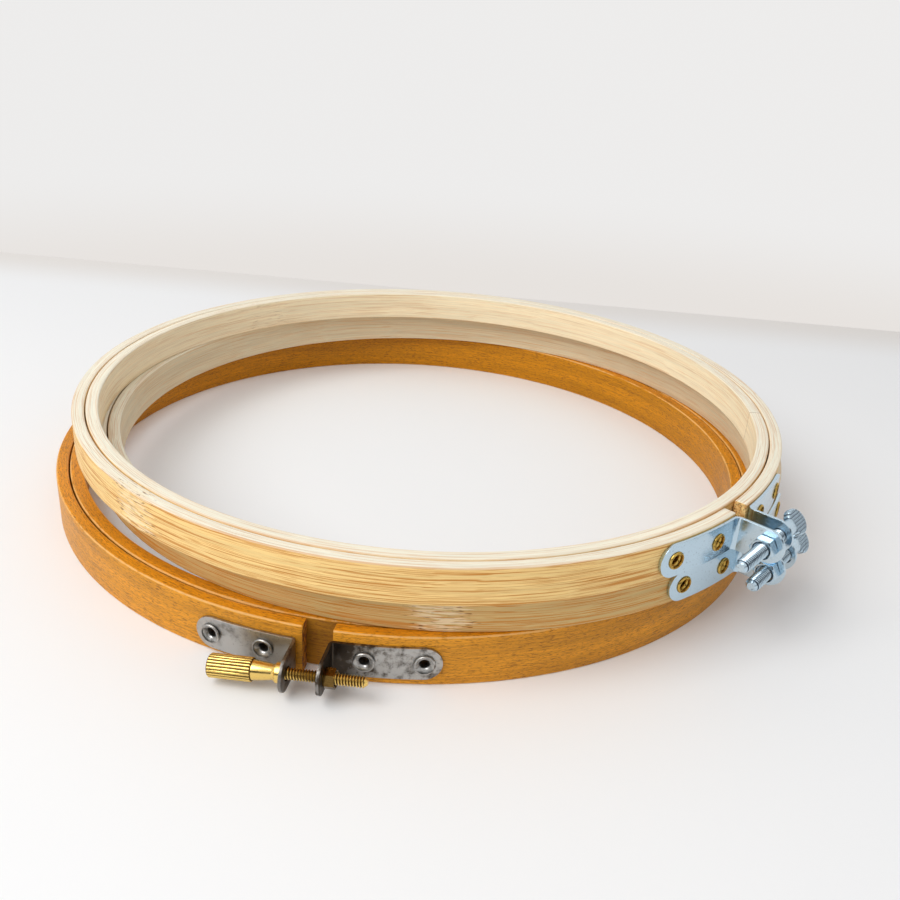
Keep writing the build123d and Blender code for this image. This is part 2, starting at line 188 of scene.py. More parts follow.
class WoodColours(bpy.types.PropertyGroup):
    beech_side: colour("Beech side", "Outer wall of the beech rings", 0.68, 0.285, 0.020)
    beech_top: colour("Beech top", "Upper edges of the beech rings", 0.74, 0.29, 0.010)
    beech_bore: colour("Beech bore", "Inner wall of the beech rings", 0.59, 0.235, 0.004)
    beech_pore: colour("Beech pore", "Short dark pores of the beech", 0.16, 0.050, 0.008)
    beech_worn: colour("Beech worn edge", "Rubbed edges of the beech", 0.86, 0.52, 0.19)
    bamboo_side: colour("Bamboo side", "Outer wall of the bamboo rings", 0.96, 0.68, 0.28)
    bamboo_top: colour("Bamboo top", "Upper edges of the bamboo rings", 0.98, 0.93, 0.76)
    bamboo_streak: colour("Bamboo streak", "Tan streaks along the bamboo", 0.60, 0.255, 0.045)
    bamboo_knuckle: colour("Bamboo knuckle", "Pale patch where a knuckle was", 0.96, 0.82, 0.56)
    bamboo_dash: colour("Bamboo dash", "Brown dashes at a knuckle", 0.26, 0.105, 0.025)
    glue: colour("Glue line", "Where the closed rings' ends meet", 0.24, 0.11, 0.04)


class MetalColours(bpy.types.PropertyGroup):
    zinc: colour("Zinc", "Bright zinc plate", 0.54, 0.68, 0.78)
    zinc_groove: colour("Zinc groove", "Dull bottoms of the zinc's grooves", 0.020, 0.034, 0.060)
    nickel: colour("Nickel", "Worn nickel plate", 0.46, 0.455, 0.44)
    # Also the colour of the painted dark reflection at the nickel brackets' fold and ear
    nickel_tarnish: colour("Nickel tarnish", "Dark clouds in the nickel", 0.080, 0.064, 0.050)
    brass: colour("Brass", "Turned brass", 0.86, 0.60, 0.18)
    # The colour that the brass flutes and threads darken towards, most at the bottoms of the grooves
    brass_groove: colour("Brass groove", "Dirt in the brass flutes", 0.055, 0.022, 0.004)
    aged_brass: colour("Aged brass", "Dull brass of the small nut", 0.17, 0.10, 0.028)
    eyelet_brass: colour("Eyelet brass", "Lacquered brass of the eyelets", 0.58, 0.38, 0.09)


class StageSettings(bpy.types.PropertyGroup):
    floor: colour("Floor", "White table that the stack stands on", 0.895, 0.90, 0.91)
    wall: colour("Background", "Pale grey beyond the table's edge", 0.850, 0.842, 0.836)
    key_power: bpy.props.FloatProperty(
        name="Key light", description="Power of the large soft lamp", default=6.3,
        unit="POWER", min=0.0)
    ambient: bpy.props.FloatProperty(
        name="Ambient", description="Strength of the room's even light", default=0.56,
        min=0.0)
    table_glow: bpy.props.FloatProperty(
        name="Table white", description="How much paler the camera sees the table",
        default=0.03, min=0.0, max=1.0, subtype="FACTOR")
    wall_low: colour("Background, low", "Warmer grey just above the table's edge", 0.80, 0.765, 0.735)
    dark_card: colour("Dark card", "Panel that only the metal's reflections see", 0.012, 0.018, 0.03)
    lens: bpy.props.FloatProperty(
        name="Lens", description="Focal length of the camera in millimetres",
        default=38.354, subtype="DISTANCE_CAMERA", unit="CAMERA")
    distance: size("Camera distance", "From the camera to the point it looks at", 320.086)
    pitch: turn("Camera pitch", "How far the camera looks down", 25.444)
    roll: turn("Camera roll", "How far the camera leans", 3.933)
    aim_right: size("Aim right", "Point looked at, right of the beech hoop's middle", 11.696)
    aim_back: size("Aim back", "Point looked at, behind the beech hoop's middle", 17.957)


# Sizes of one hoop as the pieces need them

BODIES = {
    "beech": {-1: "beech_outer", 1: "beech_free_end"},
    "lower_bamboo": {-1: "lower_bamboo_free_end", 1: "lower_bamboo_outer"},
    "upper_bamboo": {-1: "upper_bamboo_free_end", 1: "upper_bamboo_outer"}}

SIDE_WORDS = {
    "beech": {-1: "left", 1: "right"},
    "lower_bamboo": {-1: "front", 1: "rear"},
    "upper_bamboo": {-1: "front", 1: "rear"}}

HOOPS = ("beech", "lower_bamboo", "upper_bamboo")
WOOD_MARKS = ("crown", "bore", "wear")

# Fits between the pieces and walls that no picture shows, in metres
SEAT_GAP = 0.0001
JOINT_GAP = 0.0003
EYELET_WALL = 0.00035
EYELET_GAP = 0.0001
CLINCH_THICKNESS = 0.00035
CLINCH_EXTRA = 0.0005
CLINCH_RECESS = 0.00035
EAR_HOLE_GAP = 0.00035
BEARING_GAP = 0.00005
NUT_BORE_GAP = 0.00026

# Finish of the edges and surfaces, in metres
SAWN_EDGE = 0.00022
SHEET_EDGE = 0.00016
SANDING_DEPTH = 0.00005
SANDING_LEAST = 0.00001
# How far the fold mark reaches from the bend; the nickel finishes paint a dark reflection along it
FOLD_SPREAD = 0.010
FLAT_INSET = 0.00002
OVERLAP = 0.0002

# Shares: the tip's bevel, the darkened depth of a thread's grooves, a knurl's groove, the cone of a
# nut's corners
TIP_SLOPE = 0.75
GROOVE_DARK_SHARE = 0.24
KNURL_GROOVE = 0.21
NUT_CONE = 0.6

# Hand sanding: lumps to a metre, their squash along the height, and how deep they go on each face
LUMP_DENSITY = 55
LUMP_SQUASH = 6
SANDED_SIDE = 0.8
SANDED_END = 0.5

# Fineness of the meshes: steps round a turn, and cells across the spade
RING_STEPS = 360
SPLIT_RING_STEPS = 356
HOLE_STEPS = 36
EYELET_STEPS = 40
THREAD_STEPS = 20
COLLAR_STEPS = 48
SHANK_STEPS = 56
NUT_STEPS = 72
STRIP_END_STEPS = 50
PLATE_CUTS = 12
FOLD_CUTS = 8
SPADE_CELLS = 84

# Corners closer than this are one corner; corners closer to a cut than this are on it
FINE_WELD = 1e-8
COARSE_WELD = 1e-7
MIRROR_WELD = 1e-6
AT_CORNER = 1e-6
ON_PLANE = 1e-9
DRILL_OVERRUN = 0.001

# Angles in degrees above which a corner looks sharp
WOOD_CREASE = 50
SCREW_CREASE = 38
EYELET_CREASE = 60
NUT_CREASE = 25

# The table's far edge, how far in front of it the white fades, and the band of the wall
TABLE_EDGE_X = 0.0036
TABLE_EDGE_Y = 0.2104
TABLE_TURN = math.radians(4.0)
TABLE_FADE = (-0.050, -0.002)
WALL_BAND = (-0.27, -0.17)

LAMP_SIDE = 0.7
LAMP_PLACE = (-0.50, -0.45, 0.75)
LAMP_COLOUR = (1.0, 0.995, 0.985)
VESSEL_COLOUR = (0.07, 0.03, 0.012, 1)


def values_of(group):
    names = [key for key in group.bl_rna.properties.keys() if key not in ("rna_type", "name")]
    return {name: getattr(group, name) for name in names}


def hoop_sizes(name):
    """All sizes of one hoop, by name, in metres and radians."""
    scene = bpy.context.scene
    if name == "beech":
        made = values_of(scene.beech_hoop)
        made["head_side"] = -1
    else:
        made = values_of(scene.bamboo_clamps)
        made.update(values_of(scene.lower_bamboo if name == "lower_bamboo" else scene.upper_bamboo))
        made["head_side"] = 1
        made["front_set_back"] = 0.0
        made["rear_set_back"] = 0.0
        made["front_plate_drop"] = made["plate_drop"]
        made["rear_plate_drop"] = made["plate_drop"]
        made["screw_drop"] = made["plate_drop"]
    hoop = SimpleNamespace(name=name, **made)
    hoop.set_back = {-1: hoop.front_set_back, 1: hoop.rear_set_back}
    hoop.drop = {-1: hoop.front_plate_drop, 1: hoop.rear_plate_drop}
    hoop.reach = {-1: hoop.front_ear_reach, 1: hoop.rear_ear_reach}
    hoop.joint_radius = hoop.outer_radius - hoop.outer_wall
    hoop.screw_radius = hoop.outer_radius + hoop.screw_reach
    hoop.barrel = hoop.bore_radius + EYELET_WALL
    hoop.nut_corner = hoop.nut_flats / 2 / math.cos(math.pi / 6)
    hoop.place = hoop_place(name, hoop.head_side)
    return hoop


def hoop_place(name, head_side):
    """The hoop's own frame: Z up its axis from its base, the split on +X, Y along the screw."""
    low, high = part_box(name + "_inner_ring")
    along = Vector(JOINTS[name + "_screw_turn"]["axis"]) * -head_side
    along.z = 0
    along.normalize()
    up = Vector((0, 0, 1))
    outward = along.cross(up)
    place = Matrix((outward, along, up)).transposed().to_4x4()
    place.translation = Vector(((low.x + high.x) / 2, (low.y + high.y) / 2, low.z))
    return place


def plate_height(hoop, side):
    return hoop.height / 2 - hoop.drop[side]


def ear_back(hoop, side):
    """How far the back of an ear is from the middle of the split."""
    return hoop.split / 2 + hoop.set_back[side] + hoop.sheet


def eyelet_angles(hoop, side):
    near = ear_back(hoop, side) + hoop.near_eyelet
    return [distance / (hoop.outer_radius + hoop.sheet) for distance in (near, near + hoop.eyelet_pitch)]


def eyelet_place(hoop, side, angle):
    """A frame on the hoop's axis whose Z points outwards through an eyelet."""
    spin = Matrix.Rotation(side * angle, 4, "Z")
    lift = Matrix.Translation((0, 0, plate_height(hoop, side)))
    return hoop.place @ spin @ lift @ Matrix.Rotation(math.radians(90), 4, "Y")


def screw_place(hoop):
    """The frame of the screw: Z runs from the collar's bearing face to the head."""
    joint = JOINTS[hoop.name + "_screw_turn"]
    axis = -Vector(joint["axis"]).normalized()
    out = hoop.place.to_3x3() @ Vector((1, 0, 0))
    side = axis.cross(out).normalized()
    place = Matrix((out, side, axis)).transposed().to_4x4()
    place.translation = Vector(joint["pos_m"])
    return place


def nut_place(hoop):
    """The frame of the nut, from its face on the ear, with Z towards the screw's tip."""
    lean = math.tan(hoop.screw_tilt)
    head_start = ear_back(hoop, hoop.head_side) + BEARING_GAP + hoop.collar_radius * lean
    nut_start = ear_back(hoop, -hoop.head_side) + BEARING_GAP + hoop.nut_corner * lean
    flip = Matrix.Rotation(math.pi, 4, "X")
    slide = Matrix.Translation((0, 0, head_start + nut_start))
    return screw_place(hoop) @ flip @ slide @ Matrix.Rotation(hoop.nut_turn, 4, "Z")


# Small helpers for bmesh work

def radius_at(co):
    return math.hypot(co.x, co.y)


def mesh_of(work, name):
    """Turns a bmesh into a mesh, and ends the bmesh."""
    mesh = bpy.data.meshes.new(name)
    work.to_mesh(mesh)
    work.free()
    return mesh


def in_scene(name, data):
    """Puts a mesh, a lamp or a camera in the scene as an object."""
    made = bpy.data.objects.new(name, data)
    bpy.context.scene.collection.objects.link(made)
    return made


def part_of(builder):
    """Makes one shape in a bmesh of its own and returns its mesh."""
    work = bmesh.new()
    builder(work)
    bmesh.ops.recalc_face_normals(work, faces=work.faces)
    return mesh_of(work, "part")


def take_in(work, mesh, place):
    """Adds a mesh to a bmesh at a place, and removes the mesh."""
    mesh.transform(place)
    work.from_mesh(mesh)
    bpy.data.meshes.remove(mesh)


def weld(work, distance):
    bmesh.ops.remove_doubles(work, verts=work.verts, dist=distance)


def spin_round(work, section, steps, angle=math.tau, rise=0, merge=True):
    """Sweeps a section round Z, and up by a rise at each step."""
    bmesh.ops.spin(
        work, geom=section, cent=(0, 0, 0), axis=(0, 0, 1), dvec=(0, 0, rise),
        angle=angle, steps=steps, use_merge=merge, use_duplicate=False)


def cut_across(work, place, facing, clear=False):
    """Cuts all faces along a plane, and may drop what lies beyond it."""
    whole = work.verts[:] + work.edges[:] + work.faces[:]
    bmesh.ops.bisect_plane(
        work, geom=whole, dist=ON_PLANE, plane_co=place, plane_no=facing, clear_outer=clear)


def ease_edges(work, edges, width, segments):
    """Rounds sharp edges, as a file or sandpaper does."""
    bmesh.ops.bevel(
        work, geom=edges, offset=width, segments=segments, profile=0.5, affect="EDGES",
        material=-1, clamp_overlap=True)


def grown(work, rim):
    """Extrudes a line of edges, and returns the new edges and corners."""
    made = bmesh.ops.extrude_edge_only(work, edges=rim)["geom"]
    edges = [item for item in made if isinstance(item, bmesh.types.BMEdge)]
    return edges, [item for item in made if isinstance(item, bmesh.types.BMVert)]


def finish_piece(name, work, finishes, place, smooth=40):
    """Closes a bmesh into an object in the row frame, with smooth curves and sharp corners."""
    weld(work, FINE_WELD)
    bmesh.ops.recalc_face_normals(work, faces=work.faces)
    bmesh.ops.transform(work, matrix=place, verts=work.verts)
    mesh = mesh_of(work, name)
    for finish in finishes:
        mesh.materials.append(finish)
    mesh.shade_smooth()
    mesh.set_sharp_from_angle(angle=math.radians(smooth))
    return in_scene(name, mesh)


def chain(work, points):
    """A line of edges through (radius, height) points in the XZ plane."""
    verts = [work.verts.new((radius, 0, height)) for radius, height in points]
    return verts, [work.edges.new(pair) for pair in zip(verts, verts[1:])]


def spin_chain(work, points, steps, closed=False):
    """Turns a (radius, height) line all the way round Z."""
    verts, edges = chain(work, points)
    if closed:
        edges.append(work.edges.new((verts[-1], verts[0])))
    spin_round(work, verts + edges, steps)
    weld(work, FINE_WELD)


def arc_points(centre, radius, start, end, count):
    """Points of an arc in (radius, height), angles in degrees."""
    made = []
    for step in range(count + 1):
        angle = math.radians(start + (end - start) * step / count)
        made.append((centre[0] + radius * math.cos(angle), centre[1] + radius * math.sin(angle)))
    return made


def fill_ends(work, slot=0):
    """Closes every open end, and returns the new faces."""
    open_edges = [edge for edge in work.edges if edge.is_boundary]
    made = bmesh.ops.holes_fill(work, edges=open_edges, sides=0)["faces"]
    for face in made:
        face.material_index = slot
    return made


def soft_step(value, low, high):
    share = min(1, max(0, (value - low) / (high - low)))
    return share * share * (3 - 2 * share)


# Rings

def ring_section(work, inner, outer, height, edge_round):
    """The rounded section of a ring's wood, standing in the XZ plane."""
    corners = [(inner, 0), (outer, 0), (outer, height), (inner, height)]
    verts = [work.verts.new((x, 0, z)) for x, z in corners]
    for number in range(4):
        work.edges.new((verts[number], verts[(number + 1) % 4]))
    bmesh.ops.bevel(
        work, geom=verts, offset=edge_round, segments=4, profile=0.5,
        affect="VERTICES", material=-1)
    long_edges = [edge for edge in work.edges if edge.calc_length() > 4 * edge_round]
    bmesh.ops.subdivide_edges(work, edges=long_edges, cuts=3)
    return work.verts[:] + work.edges[:]


def mark_wood(work, inner, outer, height, edge_round, joint_angle):
    """Writes where each corner is along the grain, and which faces are top, bore and edge."""
    grain = work.loops.layers.float_vector.new("grain")
    crown, bore, wear = [work.verts.layers.float.new(word) for word in WOOD_MARKS]
    middle = (inner + outer) / 2
    for vert in work.verts:
        radius = radius_at(vert.co)
        vert[crown] = soft_step(vert.co.z, height - edge_round, height - edge_round * 0.25)
        vert[bore] = 1 - soft_step(radius, inner + edge_round * 0.25, inner + edge_round)
        near_side = min(radius - inner, outer - radius)
        near_end = min(vert.co.z, height - vert.co.z)
        away = max(near_side, near_end)
        vert[wear] = 1 - soft_step(away, edge_round * 0.35, edge_round * 1.3)
    for face in work.faces:
        middle_angle = (math.atan2(*face.calc_center_median().yx) - joint_angle) % math.tau
        for loop in face.loops:
            angle = (math.atan2(loop.vert.co.y, loop.vert.co.x) - joint_angle) % math.tau
            if angle - middle_angle > math.pi:
                angle -= math.tau
            if middle_angle - angle > math.pi:
                angle += math.tau
            loop[grain] = Vector((angle * middle, radius_at(loop.vert.co), loop.vert.co.z))


def sand_by_hand(work, inner, outer, height, seed):
    """Lowers the surface by a few hundredths of a millimetre here and there."""
    middle = (inner + outer) / 2
    for vert in work.verts:
        radius = radius_at(vert.co)
        spot = Vector((vert.co.x, vert.co.y, vert.co.z * LUMP_SQUASH)) * LUMP_DENSITY
        spot = spot + Vector((seed, 0, 0))
        lump = (noise.noise(spot) + 1) / 2 * SANDING_DEPTH + SANDING_LEAST
        inward = -1 if radius > middle else 1
        share = (radius + inward * lump * SANDED_SIDE) / radius
        rise = -1 if vert.co.z > height / 2 else 1
        vert.co = Vector((vert.co.x * share, vert.co.y * share, vert.co.z + rise * lump * SANDED_END))


JOINT_ANGLES = {"beech": 94.9, "lower_bamboo": 309.0, "upper_bamboo": 37.9}


def closed_ring(name, hoop, finishes, joint_angle, seed):
    """The inner ring: a bent strip whose two ends are glued together."""
    outer = hoop.joint_radius - JOINT_GAP
    inner = outer - hoop.inner_wall
    work = bmesh.new()
    section = ring_section(work, inner, outer, hoop.height, hoop.edge_round)
    spin_round(work, section, RING_STEPS)
    weld(work, COARSE_WELD)
    mark_wood(work, inner, outer, hoop.height, hoop.edge_round, joint_angle)
    sand_by_hand(work, inner, outer, hoop.height, seed)
    return finish_piece(name, work, finishes, hoop.place, WOOD_CREASE)


def split_ring(name, hoop, finishes, seed):
    """The outer ring: a springy strip with a gap that the clamp draws together."""
    outer = hoop.outer_radius
    inner = hoop.joint_radius
    start = math.asin(hoop.split / 2 / ((inner + outer) / 2))
    work = bmesh.new()
    section = ring_section(work, inner, outer, hoop.height, hoop.edge_round)
    turned = Matrix.Rotation(start, 3, "Z")
    bmesh.ops.rotate(work, verts=work.verts, cent=(0, 0, 0), matrix=turned)
    spin_round(work, section, SPLIT_RING_STEPS, math.tau - 2 * start, merge=False)
    weld(work, COARSE_WELD)
    for vert in work.verts:
        if vert.is_boundary:
            y = math.copysign(hoop.split / 2, vert.co.y)
            vert.co = Vector((math.sqrt(radius_at(vert.co) ** 2 - y ** 2), y, vert.co.z))
    ends = fill_ends(work, 1)
    bmesh.ops.recalc_face_normals(work, faces=work.faces)
    rims = [edge for face in ends for edge in face.edges]
    ease_edges(work, rims, SAWN_EDGE, 2)
    mark_wood(work, inner, outer, hoop.height, hoop.edge_round, 0)
    sand_by_hand(work, inner, outer, hoop.height, seed)
    ring = finish_piece(name, work, finishes, Matrix(), WOOD_CREASE)
    drill_ring(ring, hoop)
    ring.data.transform(hoop.place)
    return ring


def drill_ring(ring, hoop):
    """Cuts the eyelets' holes through the wall and the pockets for their clinched ends."""
    work = bmesh.new()
    low = hoop.joint_radius - DRILL_OVERRUN
    step = hoop.joint_radius + CLINCH_RECESS + CLINCH_THICKNESS + EYELET_GAP
    high = hoop.outer_radius + DRILL_OVERRUN
    bore = hoop.barrel + EYELET_GAP
    seat = bore + CLINCH_EXTRA
    outline = [(0, low), (seat, low), (seat, step), (bore, step), (bore, high), (0, high)]
    for side in (-1, 1):
        for angle in eyelet_angles(hoop, side):
            one = part_of(lambda cutter: spin_chain(cutter, outline, HOLE_STEPS))
            take_in(work, one, hoop.place.inverted() @ eyelet_place(hoop, side, angle))
    drill = in_scene("drill", mesh_of(work, "drill"))
    cut = ring.modifiers.new("Eyelet holes", "BOOLEAN")
    cut.operation = "DIFFERENCE"
    cut.solver = "EXACT"
    cut.object = drill
    graph = bpy.context.evaluated_depsgraph_get()
    bored = bpy.data.meshes.new_from_object(ring.evaluated_get(graph))
    ring.modifiers.clear()
    old = ring.data
    ring.data = bored
    bpy.data.meshes.remove(old)
    bored.name = ring.name
    bored.set_sharp_from_angle(angle=math.radians(WOOD_CREASE))
    bpy.data.objects.remove(drill)


# Brackets

def bracket_path(hoop, side):
    """The lengths that turn a flat strip into a plate bent to the ring, a fold and an ear."""
    path = SimpleNamespace()
    path.plate_radius = hoop.outer_radius + SEAT_GAP + hoop.sheet / 2
    path.fold_radius = hoop.bend + hoop.sheet / 2
    path.ear_line = ear_back(hoop, side) - hoop.sheet / 2
    path.fold_y = path.ear_line + path.fold_radius
    reach = path.plate_radius + path.fold_radius
    path.fold_x = math.sqrt(reach ** 2 - path.fold_y ** 2)
    path.fold_start = math.atan2(path.fold_y, path.fold_x)
    outside = hoop.outer_radius + SEAT_GAP + hoop.sheet
    path.end_angle = eyelet_angles(hoop, side)[-1] + hoop.plate_end / outside
    path.plate = path.plate_radius * (path.end_angle - path.fold_start)
    path.fold = path.fold_radius * (math.pi / 2 - path.fold_start)
    path.ear = hoop.outer_radius + hoop.reach[side] - path.fold_x
    path.whole = path.plate + path.fold + path.ear
    return path


def bent(path, along, rise, out):
    """Where a point of the flat strip goes, and which way its outer face then looks."""
    if along < path.plate:
        angle = path.end_angle - along / path.plate_radius
        facing = Vector((math.cos(angle), math.sin(angle), 0))
        spot = facing * (path.plate_radius + out)
    elif along < path.plate + path.fold:
        angle = math.pi + path.fold_start + (along - path.plate) / path.fold_radius
        facing = Vector((-math.cos(angle), -math.sin(angle), 0))
        centre = Vector((path.fold_x, path.fold_y, 0))
        spot = centre - facing * (path.fold_radius - out)
    else:
        facing = Vector((0, 1, 0))
        spot = Vector((path.fold_x + along - path.plate - path.fold, path.ear_line + out, 0))
    return spot + Vector((0, 0, rise)), facing


def strip_blank(hoop, side, path):
    """The flat strip with half-round ends and punched holes."""
    half = hoop.bracket_width / 2
    work = bmesh.new()
    bmesh.ops.create_circle(
        work, cap_ends=False, segments=STRIP_END_STEPS, radius=half,
        matrix=Matrix.Translation((half, 0, 0)))
    far_end = [vert for vert in work.verts if vert.co.x > half]
    bmesh.ops.translate(work, verts=far_end, vec=(path.whole - 2 * half, 0, 0))
    hole_y = ear_back(hoop, side) - hoop.sheet / 2
    hole_rise = hoop.drop[side] - hoop.screw_drop + side * hole_y * math.tan(hoop.screw_tilt)
    hole_along = path.plate + path.fold + hoop.screw_radius - path.fold_x
    holes = [(hole_along, hole_rise, hoop.thread_radius + EAR_HOLE_GAP)]
    for angle in eyelet_angles(hoop, side):
        along = (path.end_angle - angle) * path.plate_radius
        holes.append((along, 0, hoop.barrel + EYELET_GAP))
    for along, rise, radius in holes:
        bmesh.ops.create_circle(
            work, cap_ends=False, segments=HOLE_STEPS, radius=radius,
            matrix=Matrix.Translation((along, rise, 0)))
    bmesh.ops.triangle_fill(work, edges=work.edges[:], use_beauty=True, normal=(0, 0, 1))
    cuts = [path.plate * step / PLATE_CUTS for step in range(1, PLATE_CUTS + 1)]
    cuts += [path.plate + path.fold * step / FOLD_CUTS for step in range(1, FOLD_CUTS + 1)]
    for cut in cuts:
        cut_across(work, (cut, 0, 0), (1, 0, 0))
    return work


def bracket(name, hoop, side, finish):
    """An angle bracket of sheet metal: punched flat, deburred, then bent."""
    path = bracket_path(hoop, side)
    work = strip_blank(hoop, side, path)
    raised = bmesh.ops.extrude_face_region(work, geom=work.faces[:])["geom"]
    risen = [item for item in raised if isinstance(item, bmesh.types.BMVert)]
    bmesh.ops.translate(work, verts=risen, vec=(0, 0, hoop.sheet))
    bmesh.ops.translate(work, verts=work.verts, vec=(0, 0, -hoop.sheet / 2))
    bmesh.ops.recalc_face_normals(work, faces=work.faces)
    rims = []
    for edge in work.edges:
        flat = [abs(face.normal.z) > 0.9 for face in edge.link_faces]
        if len(flat) == 2 and flat[0] != flat[1]:
            rims.append(edge)
    ease_edges(work, rims, SHEET_EDGE, 3)
    # The fold and ear marks tell the nickel finishes where to paint a dark reflection near the bend and
    # on the ear
    fold = work.verts.layers.float.new("fold")
    ear = work.verts.layers.float.new("ear")
    broad = []
    for face in work.faces:
        broad.append(round(face.normal.z) if abs(face.normal.z) > 0.99 else 0)
    facings = []
    middle = path.plate + path.fold / 2
    for vert in work.verts:
        along, rise, out = vert.co
        spot, facing = bent(path, along, rise, out)
        vert[fold] = 1 - soft_step(abs(along - middle), path.fold / 2, path.fold / 2 + FOLD_SPREAD)
        vert[ear] = soft_step(along, middle - 0.0005, middle + 0.002)
        vert.co = Vector((spot.x, side * spot.y, spot.z + plate_height(hoop, side)))
        facings.append(Vector((facing.x, side * facing.y, 0)))
    if side > 0:
        bmesh.ops.reverse_faces(work, faces=work.faces)
    bmesh.ops.transform(work, matrix=hoop.place, verts=work.verts)
    mesh = mesh_of(work, name)
    mesh.materials.append(finish)
    mesh.shade_smooth()
    spin = hoop.place.to_3x3()
    normals = [Vector((0, 0, 0))] * len(mesh.loops)
    for face, sign in zip(mesh.polygons, broad):
        if sign:
            for index in face.loop_indices:
                facing = facings[mesh.loops[index].vertex_index]
                normals[index] = spin @ facing * sign
    mesh.normals_split_custom_set(normals)
    return in_scene(name, mesh)


# Eyelets, screws and nuts

def eyelet_section(hoop):
    """The (radius, height) line round an eyelet's wall, heights from the hoop's axis."""
    bore = hoop.bore_radius
    clinch_low = hoop.joint_radius + CLINCH_RECESS
    clinch_high = clinch_low + CLINCH_THICKNESS
    seat = hoop.outer_radius + SEAT_GAP + hoop.sheet + BEARING_GAP
    top = seat + hoop.flange_height
    roll = hoop.flange_height * 0.5
    edge = 0.0001
    slope = 0.00005
    clinch_round = 0.00015
    lip_round = 0.00045
    line = [(bore, clinch_low + edge), (bore + edge, clinch_low)]
    clinch = hoop.barrel + CLINCH_EXTRA
    turned_in = (clinch - clinch_round, clinch_low + clinch_round)
    line += arc_points(turned_in, clinch_round, -90, 0, 3)
    line += [(clinch, clinch_high - slope), (hoop.barrel, clinch_high), (hoop.barrel, seat)]
    line += arc_points((hoop.flange_radius - roll, seat + roll), roll, -80, 100, 9)
    lip = hoop.flange_radius - roll
    line += arc_points((lip - edge, top - lip_round), lip_round, 80, 10, 5)
    line = [point for point in line if point[0] >= bore]
    line += [(bore + 0.00012, top - 0.00075), (bore, top - 0.0012)]
    return line


def eyelet_pair(name, hoop, side, finish):
    """Two rolled tubular rivets that hold a bracket to the ring."""
    work = bmesh.new()
    section = eyelet_section(hoop)
    for angle in eyelet_angles(hoop, side):
        one = part_of(lambda rivet: spin_chain(rivet, section, EYELET_STEPS, closed=True))
        take_in(work, one, eyelet_place(hoop, side, angle))
    return finish_piece(name, work, [finish], Matrix(), EYELET_CREASE)


def threaded_rod(work, radius, pitch, length):
    """A right-hand thread up Z from zero to its length, with a bevelled tip."""
    depth = pitch * 0.5
    low = radius - depth
    groove = [(low, 0.0), (low, 0.10), (radius - depth * 0.1, 0.42), (radius, 0.5)]
    groove += [(radius - depth * 0.1, 0.58), (low, 0.90), (low, 1.0)]
    turns = int(length / pitch) + 3
    verts, edges = chain(work, [(r, (z - 1.5) * pitch) for r, z in groove])
    spin_round(
        work, verts + edges, THREAD_STEPS * turns, math.tau * turns, pitch / THREAD_STEPS,
        merge=False)
    weld(work, COARSE_WELD)
    for height, way in ((0, -1), (length, 1)):
        cut_across(work, (0, 0, height), (0, 0, way), clear=True)
    bevel = depth + pitch
    for vert in work.verts:
        allowed = radius - max(0, vert.co.z - (length - bevel)) * TIP_SLOPE
        here = radius_at(vert.co)
        if here > allowed:
            vert.co.x *= allowed / here
            vert.co.y *= allowed / here
    fill_ends(work)


def mark_grooves(work, surface, depth):
    """Writes how deep each point lies below the outer surface, as a share of the given depth."""
    layer = work.verts.layers.float.new("groove")
    for vert in work.verts:
        vert[layer] = soft_step(surface(vert.co), 0, depth)


def joined(name, builders, finish, place, smooth):
    """One piece of several turned shapes that touch."""
    work = bmesh.new()
    for builder in builders:
        take_in(work, part_of(builder), Matrix())
    return finish_piece(name, work, [finish], place, smooth)


def collar(work, hoop):
    edge = 0.00025
    line = [(0, 0), (hoop.collar_radius - edge, 0), (hoop.collar_radius, edge)]
    line += [(hoop.collar_radius, hoop.collar_thickness - edge)]
    line += [(hoop.collar_radius - edge, hoop.collar_thickness), (0, hoop.collar_thickness)]
    spin_chain(work, line, COLLAR_STEPS)


def rod(work, hoop):
    threaded_rod(work, hoop.thread_radius, hoop.thread_pitch, hoop.screw_length)
    flip = Matrix.Rotation(math.pi, 4, "X")
    bmesh.ops.transform(work, matrix=flip, verts=work.verts)
    bevel_start = hoop.screw_length - hoop.thread_pitch * 1.5

    def below_crest(co):
        crest = hoop.thread_radius - max(0, -co.z - bevel_start) * TIP_SLOPE
        return max(0, crest - radius_at(co))

    mark_grooves(work, below_crest, hoop.thread_pitch * GROOVE_DARK_SHARE)


def tapered_shank(work, hoop):
    start = hoop.collar_thickness - OVERLAP
    end = hoop.collar_thickness + hoop.shank_length
    small = hoop.shank_small
    large = hoop.shank_large
    line = [(0, start), (small + 0.00035, start), (small + 0.0003, start + 0.0003)]
    line += [(small, start + 0.0008), ((small + large) / 2, (start + end) / 2)]
    line += [(large, end - OVERLAP), (large, end + OVERLAP), (0, end + OVERLAP)]
    spin_chain(work, line, SHANK_STEPS)


